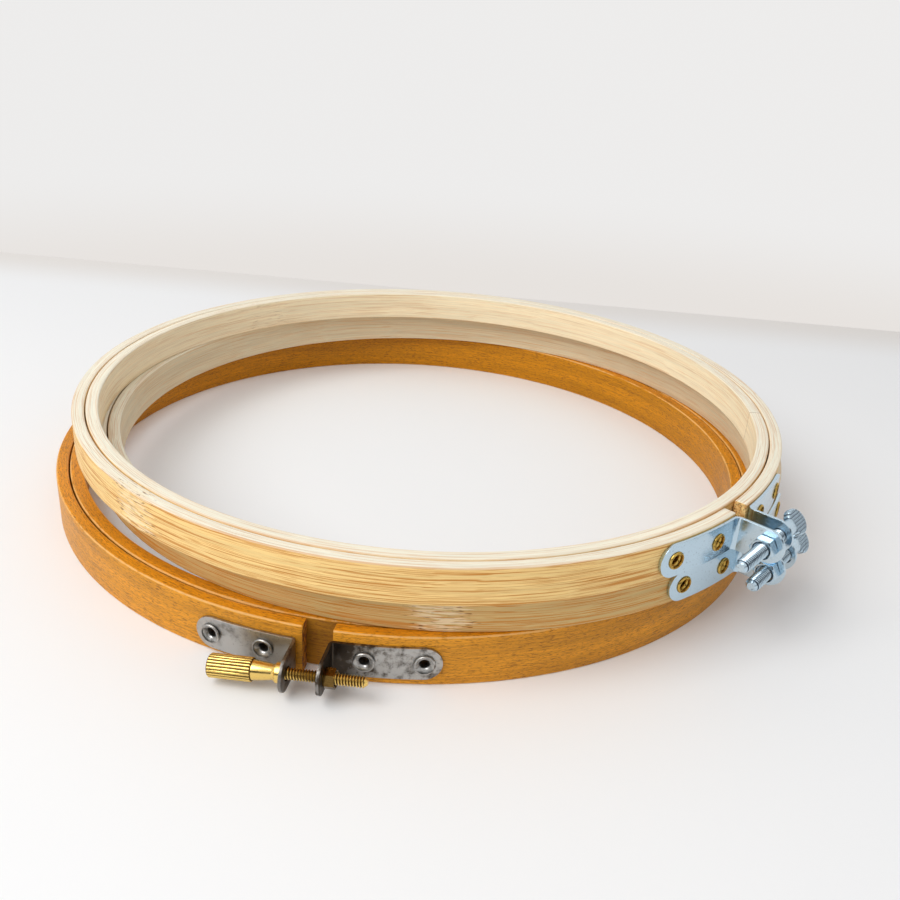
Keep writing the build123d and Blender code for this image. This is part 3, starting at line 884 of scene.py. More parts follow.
def fluted_grip(work, hoop):
    """A cylinder whose side is a ring of V flutes, with bevelled ends."""
    per_flute = 8
    start = hoop.collar_thickness + hoop.shank_length
    edge = hoop.flute_depth * 1.3
    length = hoop.head_length
    bmesh.ops.create_circle(
        work, cap_ends=False, segments=hoop.flutes * per_flute, radius=hoop.head_radius,
        matrix=Matrix.Translation((0, 0, start)))
    rim = work.edges[:]
    for rise in (edge, length - 2 * edge, edge):
        rim, verts = grown(work, rim)
        bmesh.ops.translate(work, verts=verts, vec=(0, 0, rise))
    fill_ends(work)
    for vert in work.verts:
        angle = math.atan2(vert.co.y, vert.co.x) * hoop.flutes / math.tau
        share = abs((angle % 1) - 0.5) * 2
        sink = hoop.flute_depth * soft_step(share, 0.25, 1.0)
        at_end = vert.co.z < start + edge / 2 or vert.co.z > start + length - edge / 2
        if at_end:
            sink = max(sink, hoop.flute_depth * 1.25)
        radius = hoop.head_radius - sink
        vert.co.x *= radius / radius_at(vert.co)
        vert.co.y = math.copysign(math.sqrt(max(0, radius ** 2 - vert.co.x ** 2)), vert.co.y)
    mark_grooves(work, lambda co: hoop.head_radius - radius_at(co), hoop.flute_depth)


def end_button(work, hoop):
    """The slightly domed end face that the lathe left on the fluted grip."""
    end = hoop.collar_thickness + hoop.shank_length + hoop.head_length
    radius = hoop.head_radius - hoop.flute_depth * 1.6
    line = [(0, end - 0.0004), (radius, end - 0.0004), (radius, end - 0.0001)]
    line += [(radius - 0.0002, end), (0, end)]
    spin_chain(work, line, COLLAR_STEPS)


def knurl_depth_at(hoop, y, z):
    """How deep the crossed grooves are at a place on the spade's face."""
    deep = 0
    for value in (y, z):
        away = abs((value / hoop.knurl_pitch + 0.5) % 1 - 0.5) * hoop.knurl_pitch
        deep = max(deep, 1 - away / (hoop.knurl_pitch * KNURL_GROOVE))
    return hoop.knurl_depth * max(0, deep)


def spade(work, hoop):
    """A flat round grip, knurled on both faces and nicked round its edge."""
    grooves = work.verts.layers.float.new("groove")
    flat = hoop.spade_radius - hoop.spade_edge
    half = hoop.spade_thickness / 2
    bmesh.ops.create_grid(work, x_segments=SPADE_CELLS, y_segments=SPADE_CELLS, size=1.0)
    for vert in work.verts:
        a, b = vert.co.x, vert.co.y
        y = a * math.sqrt(1 - b * b / 2) * flat
        z = b * math.sqrt(1 - a * a / 2) * flat
        deep = knurl_depth_at(hoop, y, z)
        vert[grooves] = deep / hoop.knurl_depth
        vert.co = Vector((half - deep, y, z))
    rounds = arc_points((0, 0), hoop.spade_edge, 90, 0, 3)[1:]
    rim = [edge for edge in work.edges if edge.is_boundary]
    for out, up in rounds + [(hoop.spade_edge, -(half - hoop.spade_edge))]:
        rim, verts = grown(work, rim)
        for vert in verts:
            here = math.hypot(vert.co.y, vert.co.z)
            y = vert.co.y / here
            z = vert.co.z / here
            deep = knurl_depth_at(hoop, y * flat, z * flat)
            radius = flat + out - deep * 0.8
            vert[grooves] = deep / hoop.knurl_depth * 0.8
            vert.co = Vector((half - hoop.spade_edge + up, y * radius, z * radius))
    whole = work.verts[:] + work.edges[:] + work.faces[:]
    bmesh.ops.mirror(
        work, geom=whole, matrix=Matrix(), merge_dist=MIRROR_WELD, axis="X", mirror_u=False,
        mirror_v=False)
    weld(work, COARSE_WELD)
    place = Matrix.Rotation(hoop.spade_turn, 4, "Z") @ Matrix.Translation((0, 0, hoop.spade_centre))
    bmesh.ops.transform(work, matrix=place, verts=work.verts)


def spade_neck(work, hoop):
    """The short neck that widens into the collar and flattens into the grip."""
    start = hoop.collar_thickness - OVERLAP
    end = hoop.spade_centre - hoop.spade_radius + 0.0009
    radius = hoop.neck_radius
    line = [(0, start), (radius + 0.0003, start), (radius + 0.00008, start + 0.0005)]
    line += [(radius - 0.00008, start + 0.0011), (radius - 0.0001, (start + end) / 2)]
    line += [(radius, end - 0.0006), (radius - 0.00015, end), (radius - 0.0006, end + 0.0007)]
    line += [(0, end + 0.0009)]
    spin_chain(work, line, SHANK_STEPS)
    thin = hoop.spade_thickness / 2 * 0.97
    for vert in work.verts:
        share = soft_step(vert.co.z, (start + end) / 2, end)
        vert.co.x = vert.co.x * (1 - share) + max(-thin, min(thin, vert.co.x)) * share
    turned = Matrix.Rotation(hoop.spade_turn, 4, "Z")
    bmesh.ops.transform(work, matrix=turned, verts=work.verts)


def clamp_screw(name, hoop, finish):
    """The thumb screw: threaded rod and collar, with the grip of its kind."""
    if hoop.head_side < 0:
        head = (tapered_shank, fluted_grip, end_button)
    else:
        head = (spade_neck, spade)
    builders = [lambda work, make=make: make(work, hoop) for make in (rod, collar) + head]
    return joined(name, builders, finish, screw_place(hoop), SCREW_CREASE)


def hexagon_radius(flats, angle):
    """From the middle of a hexagon to its side, with a corner at angle zero."""
    slice_angle = (angle + math.pi / 6) % (math.pi / 3) - math.pi / 6
    return flats / 2 / math.cos(math.pi / 6 - abs(slice_angle))


def clamp_nut(name, hoop, finish):
    """A hexagonal nut whose corners are turned off to a cone on both faces."""
    flat = hoop.nut_flats / 2
    corner = hoop.nut_corner
    bevel = (corner - flat) * NUT_CONE
    bore = hoop.thread_radius + NUT_BORE_GAP
    sink = 0.00025
    top = hoop.nut_thickness
    levels = [(bore, sink), (bore + sink, 0), (flat - FLAT_INSET, 0)]
    levels += [(corner, bevel), (corner, top - bevel), (flat - FLAT_INSET, top)]
    levels += [(bore + sink, top), (bore, top - sink)]
    work = bmesh.new()
    spin_chain(work, levels, NUT_STEPS, closed=True)
    for vert in work.verts:
        here = radius_at(vert.co)
        if here > corner - AT_CORNER:
            angle = math.atan2(vert.co.y, vert.co.x)
            radius = hexagon_radius(hoop.nut_flats, angle)
            cut = (radius - flat) * NUT_CONE
            vert.co.x *= radius / here
            vert.co.y *= radius / here
            vert.co.z = cut if vert.co.z < top / 2 else top - cut
    return finish_piece(name, work, [finish], nut_place(hoop), NUT_CREASE)


# Building nodes

def feed(tree, node, values):
    """Sets or links a node's inputs, by name or number."""
    for key, value in values.items():
        if isinstance(value, bpy.types.NodeSocket):
            tree.links.new(value, node.inputs[key])
        else:
            node.inputs[key].default_value = value


def add(tree, kind, values=(), **settings):
    """Adds a node, with its settings, and its inputs set or linked by name or number."""
    node = tree.nodes.new(kind)
    row, column = divmod(len(tree.nodes), NODES_PER_ROW)
    node.location = (NODE_WIDTH * column, -NODE_HEIGHT * row)
    for key, value in settings.items():
        setattr(node, key, value)
    feed(tree, node, dict(values))
    return node


def math_node(tree, operation, first, second=0.5, third=0.0, clamp=False):
    node = add(tree, "ShaderNodeMath", {0: first, 1: second, 2: third}, operation=operation)
    node.use_clamp = clamp
    return node.outputs[0]


def ranged(tree, value, low, high, new_low=0.0, new_high=1.0):
    """Maps low to high onto the new range, with a soft start and end."""
    node = add(
        tree, "ShaderNodeMapRange",
        {"Value": value, "From Min": low, "From Max": high, "To Min": new_low, "To Max": new_high},
        interpolation_type="SMOOTHSTEP")
    return node.outputs["Result"]


def mixed(tree, share, first, second):
    """Mixes two colours: a share of 0 gives the first, 1 the second."""
    node = add(tree, "ShaderNodeMix", data_type="RGBA", blend_type="MIX")
    feed(tree, node, {0: share, 6: first, 7: second})
    return node.outputs[2]


def cloud(tree, vector, scale=1.0, detail=2.0, roughness=0.5, shift=0.0):
    """Noise of a given scale, moved by a seed."""
    moved = add(tree, "ShaderNodeVectorMath", {0: vector, 1: (shift, shift * 0.7, shift * 1.3)})
    node = add(
        tree, "ShaderNodeTexNoise",
        {"Vector": moved.outputs[0], "Scale": scale, "Detail": detail, "Roughness": roughness})
    return node.outputs["Fac"]


def new_group(name, inputs, outputs):
    tree = bpy.data.node_groups.new(name, "ShaderNodeTree")
    for label, kind, value in inputs:
        socket = tree.interface.new_socket(name=label, in_out="INPUT", socket_type=kind)
        if value is not None:
            socket.default_value = value
    for label, kind in outputs:
        tree.interface.new_socket(name=label, in_out="OUTPUT", socket_type=kind)
    way_in = tree.nodes.new("NodeGroupInput")
    way_out = tree.nodes.new("NodeGroupOutput")
    return tree, way_in.outputs, way_out.inputs


def placed(tree, group, values):
    """Adds a shared group to a material and returns its outputs."""
    node = tree.nodes.new("ShaderNodeGroup")
    node.node_tree = bpy.data.node_groups[group]
    feed(tree, node, values)
    return node.outputs


def attribute(tree, name, output="Fac"):
    """A mark that was written on the mesh."""
    node = add(tree, "ShaderNodeAttribute", attribute_name=name, attribute_type="GEOMETRY")
    return node.outputs[output]


def object_place(tree):
    return add(tree, "ShaderNodeTexCoord").outputs["Object"]


def axes(tree, vector):
    """The X, Y and Z of a vector."""
    return add(tree, "ShaderNodeSeparateXYZ", {0: vector}).outputs


def shader(name):
    """A new material with its Principled BSDF."""
    material = bpy.data.materials.new(name)
    material.use_nodes = True
    tree = material.node_tree
    return material, tree, tree.nodes["Principled BSDF"]


def bumped(tree, bsdf, height, strength, distance):
    node = add(
        tree, "ShaderNodeBump",
        {"Height": height, "Strength": strength, "Distance": distance})
    tree.links.new(node.outputs["Normal"], bsdf.inputs["Normal"])


def times(tree, first, second):
    return math_node(tree, "MULTIPLY", first, second)


def plus(tree, first, second):
    return math_node(tree, "ADD", first, second)


def minus(tree, first, second):
    return math_node(tree, "SUBTRACT", first, second)


def highest(tree, first, second):
    return math_node(tree, "MAXIMUM", first, second)


def stretched(tree, strip, length, width):
    """A place on a strip, measured in units of a length along it and a width across it."""
    sizes = zip("XYZ", strip, (length, width, width))
    values = {axis: math_node(tree, "DIVIDE", part, unit) for axis, part, unit in sizes}
    return add(tree, "ShaderNodeCombineXYZ", values).outputs[0]


def shifted(tree, vector, amount):
    """A place moved by the same amount along each axis."""
    return add(tree, "ShaderNodeVectorMath", {0: vector, 1: amount}).outputs[0]


def scaled(tree, colour_in, share):
    """A colour made darker or lighter."""
    return add(tree, "ShaderNodeVectorMath", {0: colour_in, 3: share}, operation="SCALE").outputs[0]


def shaded(plain, share):
    return tuple(channel * share for channel in plain[:3]) + (1.0,)


def wood_marks(tree):
    """What mark_wood wrote: the place along the grain, the top, the bore and the edge."""
    along = attribute(tree, "grain", "Vector")
    return [along] + [attribute(tree, word) for word in WOOD_MARKS]


def seen_directly(tree):
    """One for the camera and for what glossy and clear things show, zero for other light."""
    path = add(tree, "ShaderNodeLightPath").outputs
    seen = highest(tree, path["Is Camera Ray"], path["Is Glossy Ray"])
    return highest(tree, seen, path["Is Transmission Ray"])


NODES_PER_ROW = 12
NODE_WIDTH = 190
NODE_HEIGHT = 170

FLOAT = "NodeSocketFloat"
VECTOR = "NodeSocketVector"


def group_grain():
    """Grain of a strip bent round a hoop: X runs along the strip, in metres."""
    tree, source, result = new_group(
        "Bent strip grain",
        (("Along", VECTOR, None), ("Fibre length", FLOAT, 0.008), ("Fibre width", FLOAT, 0.0003),
         ("Streak length", FLOAT, 0.03), ("Streak width", FLOAT, 0.0008), ("Seed", FLOAT, 0.0)),
        (("Fibres", FLOAT), ("Streaks", FLOAT), ("Tone", FLOAT)))
    parts = axes(tree, source["Along"])
    wander = cloud(tree, source["Along"], 45.0, 1.0, 0.5, 3.0)
    wander = times(tree, minus(tree, wander, 0.5), 0.0006)
    strip = (parts["X"], plus(tree, parts["Y"], wander), plus(tree, parts["Z"], wander))
    wide = times(tree, source["Streak width"], 4.5)
    long = times(tree, source["Streak length"], 2.0)
    for word, length, width, roughness, shift in (
            ("Fibres", source["Fibre length"], source["Fibre width"], 0.55, 0.0),
            ("Streaks", source["Streak length"], source["Streak width"], 0.55, 0.0),
            ("Tone", long, wide, 0.5, 11.0)):
        vector = shifted(tree, stretched(tree, strip, length, width), source["Seed"])
        tree.links.new(cloud(tree, vector, 1.0, 2.0, roughness, shift), result[word])


def group_knuckle():
    """The trace of a cane's knuckle: a ragged pale patch with short brown dashes."""
    tree, source, result = new_group(
        "Cane knuckle",
        (("Along", VECTOR, None), ("Place", FLOAT, 0.1), ("Length", FLOAT, 0.007)),
        (("Pale", FLOAT), ("Dashes", FLOAT)))
    parts = axes(tree, source["Along"])
    strip = (parts["X"], parts["Y"], parts["Z"])
    ragged = cloud(tree, stretched(tree, strip, 0.03, 0.0006), 1.0, 2.0, 0.6, 5.0)
    away = minus(tree, parts["X"], source["Place"])
    away = math_node(tree, "DIVIDE", away, source["Length"])
    away = plus(tree, away, times(tree, minus(tree, ragged, 0.5), 3.8))
    near = math_node(tree, "ABSOLUTE", away)
    strands = cloud(tree, stretched(tree, strip, 0.006, 0.00036), 1.0, 1.0, 0.5, 15.0)
    strands = ranged(tree, strands, 0.40, 0.54)
    patch = ranged(tree, near, 1.0, 0.55)
    tree.links.new(times(tree, patch, strands), result["Pale"])
    spots = cloud(tree, stretched(tree, strip, 0.0026, 0.00034), 1.0, 1.0, 0.5, 9.0)
    spots = ranged(tree, spots, 0.56, 0.64)
    edge = math_node(tree, "ABSOLUTE", minus(tree, near, 0.8))
    edge = ranged(tree, edge, 0.35, 0.1)
    inside = times(tree, ranged(tree, near, 0.9, 0.3), 0.35)
    tree.links.new(times(tree, spots, highest(tree, edge, inside)), result["Dashes"])


def group_handled():
    """Edges rubbed by hands: the edge mark broken up by noise."""
    tree, source, result = new_group(
        "Handled edge",
        (("Edge", FLOAT, 0.0), ("Position", VECTOR, None), ("Scale", FLOAT, 300.0)),
        (("Rubbed", FLOAT),))
    coarse = cloud(tree, source["Position"], 60.0, 2.0, 0.6, 2.0)
    fine = cloud(tree, source["Position"], source["Scale"], 3.0, 0.65)
    both = times(tree, plus(tree, coarse, fine), 0.5)
    both = plus(tree, both, times(tree, source["Edge"], 0.35))
    shown = ranged(tree, both, 0.68, 0.84)
    tree.links.new(times(tree, shown, source["Edge"]), result["Rubbed"])


def group_plating():
    """Plated metal: soft clouds, fine scratches and tiny spots."""
    tree, source, result = new_group(
        "Plated surface",
        (("Position", VECTOR, None), ("Cloud size", FLOAT, 0.004), ("Seed", FLOAT, 0.0)),
        (("Clouds", FLOAT), ("Scratches", FLOAT), ("Spots", FLOAT)))
    place = shifted(tree, source["Position"], source["Seed"])
    scale = math_node(tree, "DIVIDE", 1.0, source["Cloud size"])
    tree.links.new(cloud(tree, place, scale, 4.0, 0.6), result["Clouds"])
    parts = axes(tree, place)
    slanted = plus(tree, parts["X"], times(tree, parts["Z"], 0.6))
    lines = add(tree, "ShaderNodeCombineXYZ", {
        "X": times(tree, slanted, 350.0),
        "Y": times(tree, parts["Y"], 500.0),
        "Z": times(tree, parts["Z"], 9000.0)}).outputs[0]
    tree.links.new(cloud(tree, lines, 1.0, 2.0, 0.5, 1.0), result["Scratches"])
    spots = cloud(tree, place, 1600.0, 1.0, 0.5, 7.0)
    tree.links.new(ranged(tree, spots, 0.66, 0.74), result["Spots"])


# Wood

def grain_along(tree, along, fibre, streak, seed):
    """Grain whose fibres and streaks have these (length, width) sizes in metres."""
    return placed(tree, "Bent strip grain", {
        "Along": along, "Fibre length": fibre[0], "Fibre width": fibre[1],
        "Streak length": streak[0], "Streak width": streak[1], "Seed": seed})


def beech_wood(name, seed, painted_side_shade, whole):
    """Varnished beech: fine fibres, short dark pores, rubbed edges."""
    colours = bpy.context.scene.wood_colours
    material, tree, bsdf = shader(name)
    along, crown, bore, wear = wood_marks(tree)
    place = object_place(tree)
    grain = grain_along(tree, along, (0.009, 0.00028), (0.035, 0.0009), seed)
    pores = grain_along(tree, along, (0.0012, 0.00015), (0.0032, 0.00026), seed + 4.0)
    # painted shade: the outer wall's colour is scaled by painted_side_shade, which darkens the closed
    # ring's wall seen in the split's narrow gap
    side = shaded(colours.beech_side, painted_side_shade)
    base = mixed(tree, bore, side, tuple(colours.beech_bore))
    base = mixed(tree, crown, base, tuple(colours.beech_top))
    light = ranged(tree, grain["Tone"], 0.3, 0.7, 0.88, 1.10)
    light = times(tree, light, ranged(tree, grain["Fibres"], 0.3, 0.7, 0.88, 1.10))
    light = times(tree, light, ranged(tree, grain["Streaks"], 0.35, 0.7, 0.93, 1.06))
    base = scaled(tree, base, light)
    dark = ranged(tree, pores["Fibres"], 0.54, 0.66)
    dark = highest(tree, dark, ranged(tree, pores["Streaks"], 0.58, 0.68, 0.0, 0.8))
    dark = times(tree, dark, 0.72)
    base = mixed(tree, dark, base, tuple(colours.beech_pore))
    rubbed = placed(tree, "Handled edge", {"Edge": wear, "Position": place, "Scale": 420.0})
    rubbed = times(tree, rubbed["Rubbed"], 0.75)
    base = mixed(tree, rubbed, base, tuple(colours.beech_worn))
    gloss = ranged(tree, grain["Fibres"], 0.3, 0.7, 0.36, 0.50)
    feed(tree, bsdf, {
        "Base Color": glued_end(tree, base, along, whole),
        "Roughness": plus(tree, gloss, times(tree, rubbed, 0.2)),
        "Specular IOR Level": 0.22, "Coat Weight": 0.03, "Coat Roughness": 0.28})
    height = minus(tree, grain["Fibres"], times(tree, dark, 1.2))
    bumped(tree, bsdf, height, 0.35, 0.00006)
    return material


def glued_end(tree, base, along, whole):
    """A thin line where the two ends of a closed ring's strip meet; a split ring has none."""
    if whole is None:
        return base
    strip = axes(tree, along)["X"]
    away = math_node(tree, "MINIMUM", strip, minus(tree, whole, strip))
    line = times(tree, ranged(tree, away, 0.00016, 0.00005), 0.65)
    return mixed(tree, line, base, tuple(bpy.context.scene.wood_colours.glue))


def bamboo_wood(name, seed, knuckles, painted_shade, lines, whole):
    """Bare sanded bamboo: thin tan lines, a cream upper edge and traces of knuckles."""
    colours = bpy.context.scene.wood_colours
    material, tree, bsdf = shader(name)
    along, crown, bore, wear = wood_marks(tree)
    grain = grain_along(tree, along, (0.016, 0.00016), (0.036, 0.00026), seed)
    coarse = grain_along(tree, along, (0.028, 0.0009), (0.050, 0.0016), seed + 6.0)
    # painted shade and painted light: the side and bore colours are scaled by painted_shade, below one
    # for the lower hoop's rings, which lie under the upper hoop; the bore is also mixed 0.6 towards the
    # pale top colour, a painted lift for the inner wall
    base = mixed(
        tree, times(tree, bore, 0.6), shaded(colours.bamboo_side, painted_shade),
        shaded(colours.bamboo_top, painted_shade))
    base = mixed(tree, crown, base, tuple(colours.bamboo_top))
    light = ranged(tree, coarse["Streaks"], 0.3, 0.7, 0.94, 1.04)
    light = times(tree, light, ranged(tree, grain["Fibres"], 0.35, 0.65, 0.90, 1.05))
    base = scaled(tree, base, light)
    thin = ranged(tree, grain["Streaks"], 0.53, 0.58)
    thin = times(tree, thin, ranged(tree, coarse["Fibres"], 0.36, 0.56, 0.40, 1.0))
    wide = ranged(tree, coarse["Fibres"], 0.60, 0.74, 0.0, 0.18)
    hair = ranged(tree, grain["Fibres"], 0.56, 0.62, 0.0, 0.7)
    streak = highest(tree, highest(tree, thin, wide), hair)
    calm = ranged(tree, bore, 0.0, 1.0, lines, lines * 0.45)
    calm = times(tree, calm, ranged(tree, crown, 0.0, 1.0, 1.0, 0.5))
    streak = times(tree, streak, calm)
    base = mixed(tree, streak, base, tuple(colours.bamboo_streak))
    rim = times(tree, wear, minus(tree, 1.0, bore))
    rim = times(tree, rim, ranged(tree, coarse["Streaks"], 0.42, 0.62, 0.10, 0.6))
    base = mixed(tree, rim, base, tuple(colours.bamboo_streak))
    height = minus(tree, grain["Fibres"], times(tree, streak, 0.5))
    for spot, length, strength in knuckles:
        marks = placed(tree, "Cane knuckle", {"Along": along, "Place": spot, "Length": length})
        pale = times(tree, marks["Pale"], strength * 0.55)
        base = mixed(tree, pale, base, tuple(colours.bamboo_knuckle))
        dashes = times(tree, marks["Dashes"], strength * 0.9)
        base = mixed(tree, dashes, base, tuple(colours.bamboo_dash))
        height = minus(tree, height, dashes)
    feed(tree, bsdf, {
        "Base Color": glued_end(tree, base, along, whole),
        "Roughness": ranged(tree, grain["Fibres"], 0.3, 0.7, 0.46, 0.60),
        "Specular IOR Level": 0.3})
    bumped(tree, bsdf, height, 0.25, 0.00005)
    return material


def end_grain(name, light, dark, dot_scale, dot_share):
    """Sawn end of a strip: darker, with dots where the vessels are cut across."""
    material, tree, bsdf = shader(name)
    place = object_place(tree)
    cells = add(tree, "ShaderNodeTexVoronoi", {"Vector": place, "Scale": dot_scale}, feature="F1")
    dots = ranged(tree, cells.outputs["Distance"], 0.42, 0.22)
    blotch = cloud(tree, place, 700.0, 3.0, 0.6, 2.0)
    base = mixed(tree, ranged(tree, blotch, 0.35, 0.65), dark, light)
    feed(tree, bsdf, {
        "Base Color": mixed(tree, times(tree, dots, dot_share), base, VESSEL_COLOUR),
        "Roughness": ranged(tree, blotch, 0.3, 0.7, 0.62, 0.8)})
    bumped(tree, bsdf, minus(tree, blotch, dots), 0.5, 0.00008)
    return material


# Metal

def plated_metal(name, bright, dark, roughness, cloud_size, cloud_low, cloud_high, seed,
                 fold_painted_reflection=0.0, ear_painted_reflection=0.0):
    """A plated sheet or turned piece: clouds of tarnish, scratches and spots; on the nickel brackets the
    fold and ear are also painted dark, partly tarnish and partly a painted reflection of the dark ear,
    screw and nut.
    """
    material, tree, bsdf = shader(name)
    place = object_place(tree)
    marks = placed(tree, "Plated surface", {
        "Position": place, "Cloud size": cloud_size, "Seed": seed})
    tarnish_and_painted_reflection = ranged(tree, marks["Clouds"], cloud_low, cloud_high)
    # painted reflection: the fold and ear marks darken the sheet towards its dark colour, standing in
    # for the dark ear, screw and nut that it reflects
    if fold_painted_reflection:
        painted_reflection = times(tree, attribute(tree, "fold"), fold_painted_reflection)
        ear = attribute(tree, "ear")
        painted_reflection = math_node(tree, "MULTIPLY_ADD", ear, ear_painted_reflection, painted_reflection)
        tarnish_and_painted_reflection = math_node(tree, "ADD", tarnish_and_painted_reflection, painted_reflection, clamp=True)
    # Darker and rougher towards the bottoms of threads, flutes and knurls, by how deep the point lies
    groove = ranged(tree, attribute(tree, "groove"), 0.25, 0.75)
    base = mixed(tree, tarnish_and_painted_reflection, bright, dark)
    base = mixed(tree, times(tree, marks["Spots"], 0.35), base, dark)
    rough = ranged(tree, marks["Clouds"], 0.3, 0.7, roughness * 0.8, roughness * 1.3)
    rough = plus(tree, rough, ranged(tree, marks["Scratches"], 0.58, 0.75, 0.0, 0.16))
    feed(tree, bsdf, {
        "Base Color": mixed(tree, times(tree, groove, 0.92), base, dark),
        "Metallic": 1.0,
        "Roughness": plus(tree, rough, times(tree, groove, 0.25))})
    height = minus(tree, marks["Clouds"], times(tree, marks["Scratches"], 0.4))
    bumped(tree, bsdf, height, 0.10, 0.00008)
    return material


def strip_length(name):
    """The length of a closed ring's strip, along the middle of its wall."""
    hoop = hoop_sizes(name)
    outer = hoop.joint_radius - JOINT_GAP
    return math.tau * (outer - hoop.inner_wall / 2)


def make_materials():
    """All the finishes of the stack, by name."""
    for build in (group_grain, group_knuckle, group_handled, group_plating):
        build()
    wood = values_of(bpy.context.scene.wood_colours)
    metal = values_of(bpy.context.scene.metal_colours)
    for name, seed, painted_side_shade, whole in (
            ("Varnished beech, split ring", 1.0, 1.0, None),
            # The closed ring's outer wall is painted 0.62 times as dark: painted shade for the wall that
            # shows in the split's gap
            ("Varnished beech, closed ring", 2.0, 0.62, strip_length("beech"))):
        beech_wood(name, seed, painted_side_shade, whole)
    # The fourth column is painted shade: the lower hoop's rings are painted darker, as if in the shade
    # of the hoop above
    for name, seed, knuckles, painted_shade, lines, whole in (
            ("lower split ring", 3.0, ((0.5357, 0.006, 1.2),), 0.73, 1.40, None),
            ("lower closed ring", 4.0, (), 0.77, 0.95, strip_length("lower_bamboo")),
            ("upper split ring", 5.0, ((0.4652, 0.006, 1.0),), 1.0, 1.05, None),
            ("upper closed ring", 7.0, ((0.2228, 0.005, 0.35),), 1.0, 0.85,
             strip_length("upper_bamboo"))):
        bamboo_wood("Bamboo, " + name, seed, knuckles, painted_shade, lines, whole)
    for name, light, dark, dot_scale, dot_share in (
            ("Beech end grain", "beech_side", "beech_pore", 3800.0, 0.35),
            ("Bamboo end grain", "bamboo_side", "bamboo_streak", 2300.0, 0.8)):
        end_grain(name, tuple(wood[light]), tuple(wood[dark]), dot_scale, dot_share)
    for name, bright, dark, *rest in (
            ("Zinc sheet", "zinc", "zinc_groove", 0.17, 0.006, 0.62, 0.95, 1.0),
            ("Zinc screw", "zinc", "zinc_groove", 0.20, 0.003, 0.62, 0.95, 2.0),
            # The last two columns are painted reflection: how dark the nickel sheet is painted at the
            # fold and at the ear
            ("Nickel sheet, left", "nickel", "nickel_tarnish", 0.36, 0.004, 0.46, 0.86, 3.0,
             0.25, 0.65),
            ("Nickel sheet, right", "nickel", "nickel_tarnish", 0.36, 0.0018, 0.40, 0.74, 4.0,
             1.0, 0.5),
            ("Nickel eyelet", "nickel", "nickel_tarnish", 0.34, 0.0018, 0.42, 0.78, 5.0),
            ("Turned brass", "brass", "brass_groove", 0.20, 0.003, 0.60, 0.95, 6.0),
            ("Aged brass", "aged_brass", "brass_groove", 0.16, 0.0015, 0.50, 0.85, 7.0),
            ("Eyelet brass", "eyelet_brass", "brass_groove", 0.26, 0.002, 0.52, 0.85, 8.0)):
        plated_metal(name, tuple(metal[bright]), tuple(metal[dark]), *rest)


RING_FINISHES = {
    "beech_outer_ring": ("Varnished beech, split ring", "Beech end grain"),
    "beech_inner_ring": ("Varnished beech, closed ring",),
    "lower_bamboo_outer_ring": ("Bamboo, lower split ring", "Bamboo end grain"),
    "lower_bamboo_inner_ring": ("Bamboo, lower closed ring",),
    "upper_bamboo_outer_ring": ("Bamboo, upper split ring", "Bamboo end grain"),
    "upper_bamboo_inner_ring": ("Bamboo, upper closed ring",)}

SHEET_FINISHES = {
    "beech_left_bracket": "Nickel sheet, left",
    "beech_right_bracket": "Nickel sheet, right"}


def finishes_named(*names):
    """The finishes with these names, made when first asked for."""
    if "Turned brass" not in bpy.data.materials:
        make_materials()
    return [bpy.data.materials[name] for name in names]


def stand_for(piece, node, body):
    """The piece replaces its CAD node and rides on its body, when it has one."""
    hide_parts(node)
    if body:
        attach(piece, body)


def both_sides(what):
    """Each bracket, or each pair of eyelets: its hoop, side, CAD node and body."""
    for name in HOOPS:
        hoop = hoop_sizes(name)
        for side, word in SIDE_WORDS[name].items():
            yield hoop, side, name + "_" + word + "_" + what, BODIES[name][side]


# Operators

class HOOPS_OT_outer_rings(bpy.types.Operator):
    """Make the three split outer rings"""
    bl_idname = "hoops.outer_rings"
    bl_label = "Outer rings"

    def execute(self, context):
        for seed, name in enumerate(HOOPS):
            hoop = hoop_sizes(name)
            node = name + "_outer_ring"
            ring = split_ring(node + "_wood", hoop, finishes_named(*RING_FINISHES[node]), seed * 7.0)
            stand_for(ring, node, None)
            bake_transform(ring)
        return {"FINISHED"}


class HOOPS_OT_inner_rings(bpy.types.Operator):
    """Make the three closed inner rings"""
    bl_idname = "hoops.inner_rings"
    bl_label = "Inner rings"

    def execute(self, context):
        for seed, name in enumerate(HOOPS):
            hoop = hoop_sizes(name)
            node = name + "_inner_ring"
            ring = closed_ring(
                node + "_wood", hoop, finishes_named(*RING_FINISHES[node]),
                math.radians(JOINT_ANGLES[name]), 30 + seed * 7.0)
            stand_for(ring, node, name + "_inner")
        return {"FINISHED"}


class HOOPS_OT_brackets(bpy.types.Operator):
    """Make the six angle brackets"""
    bl_idname = "hoops.brackets"
    bl_label = "Brackets"

    def execute(self, context):
        for hoop, side, node, body in both_sides("bracket"):
            finish = SHEET_FINISHES.get(node, "Zinc sheet")
            piece = bracket(node + "_sheet", hoop, side, finishes_named(finish)[0])
            stand_for(piece, node, body)
        return {"FINISHED"}


class HOOPS_OT_eyelets(bpy.types.Operator):
    """Make the twelve eyelets that rivet the brackets to the rings"""
    bl_idname = "hoops.eyelets"
    bl_label = "Eyelets"

    def execute(self, context):
        for hoop, side, node, body in both_sides("eyelets"):
            finish = "Nickel eyelet" if hoop.name == "beech" else "Eyelet brass"
            piece = eyelet_pair(node + "_rolled", hoop, side, finishes_named(finish)[0])
            stand_for(piece, node, body)
        return {"FINISHED"}


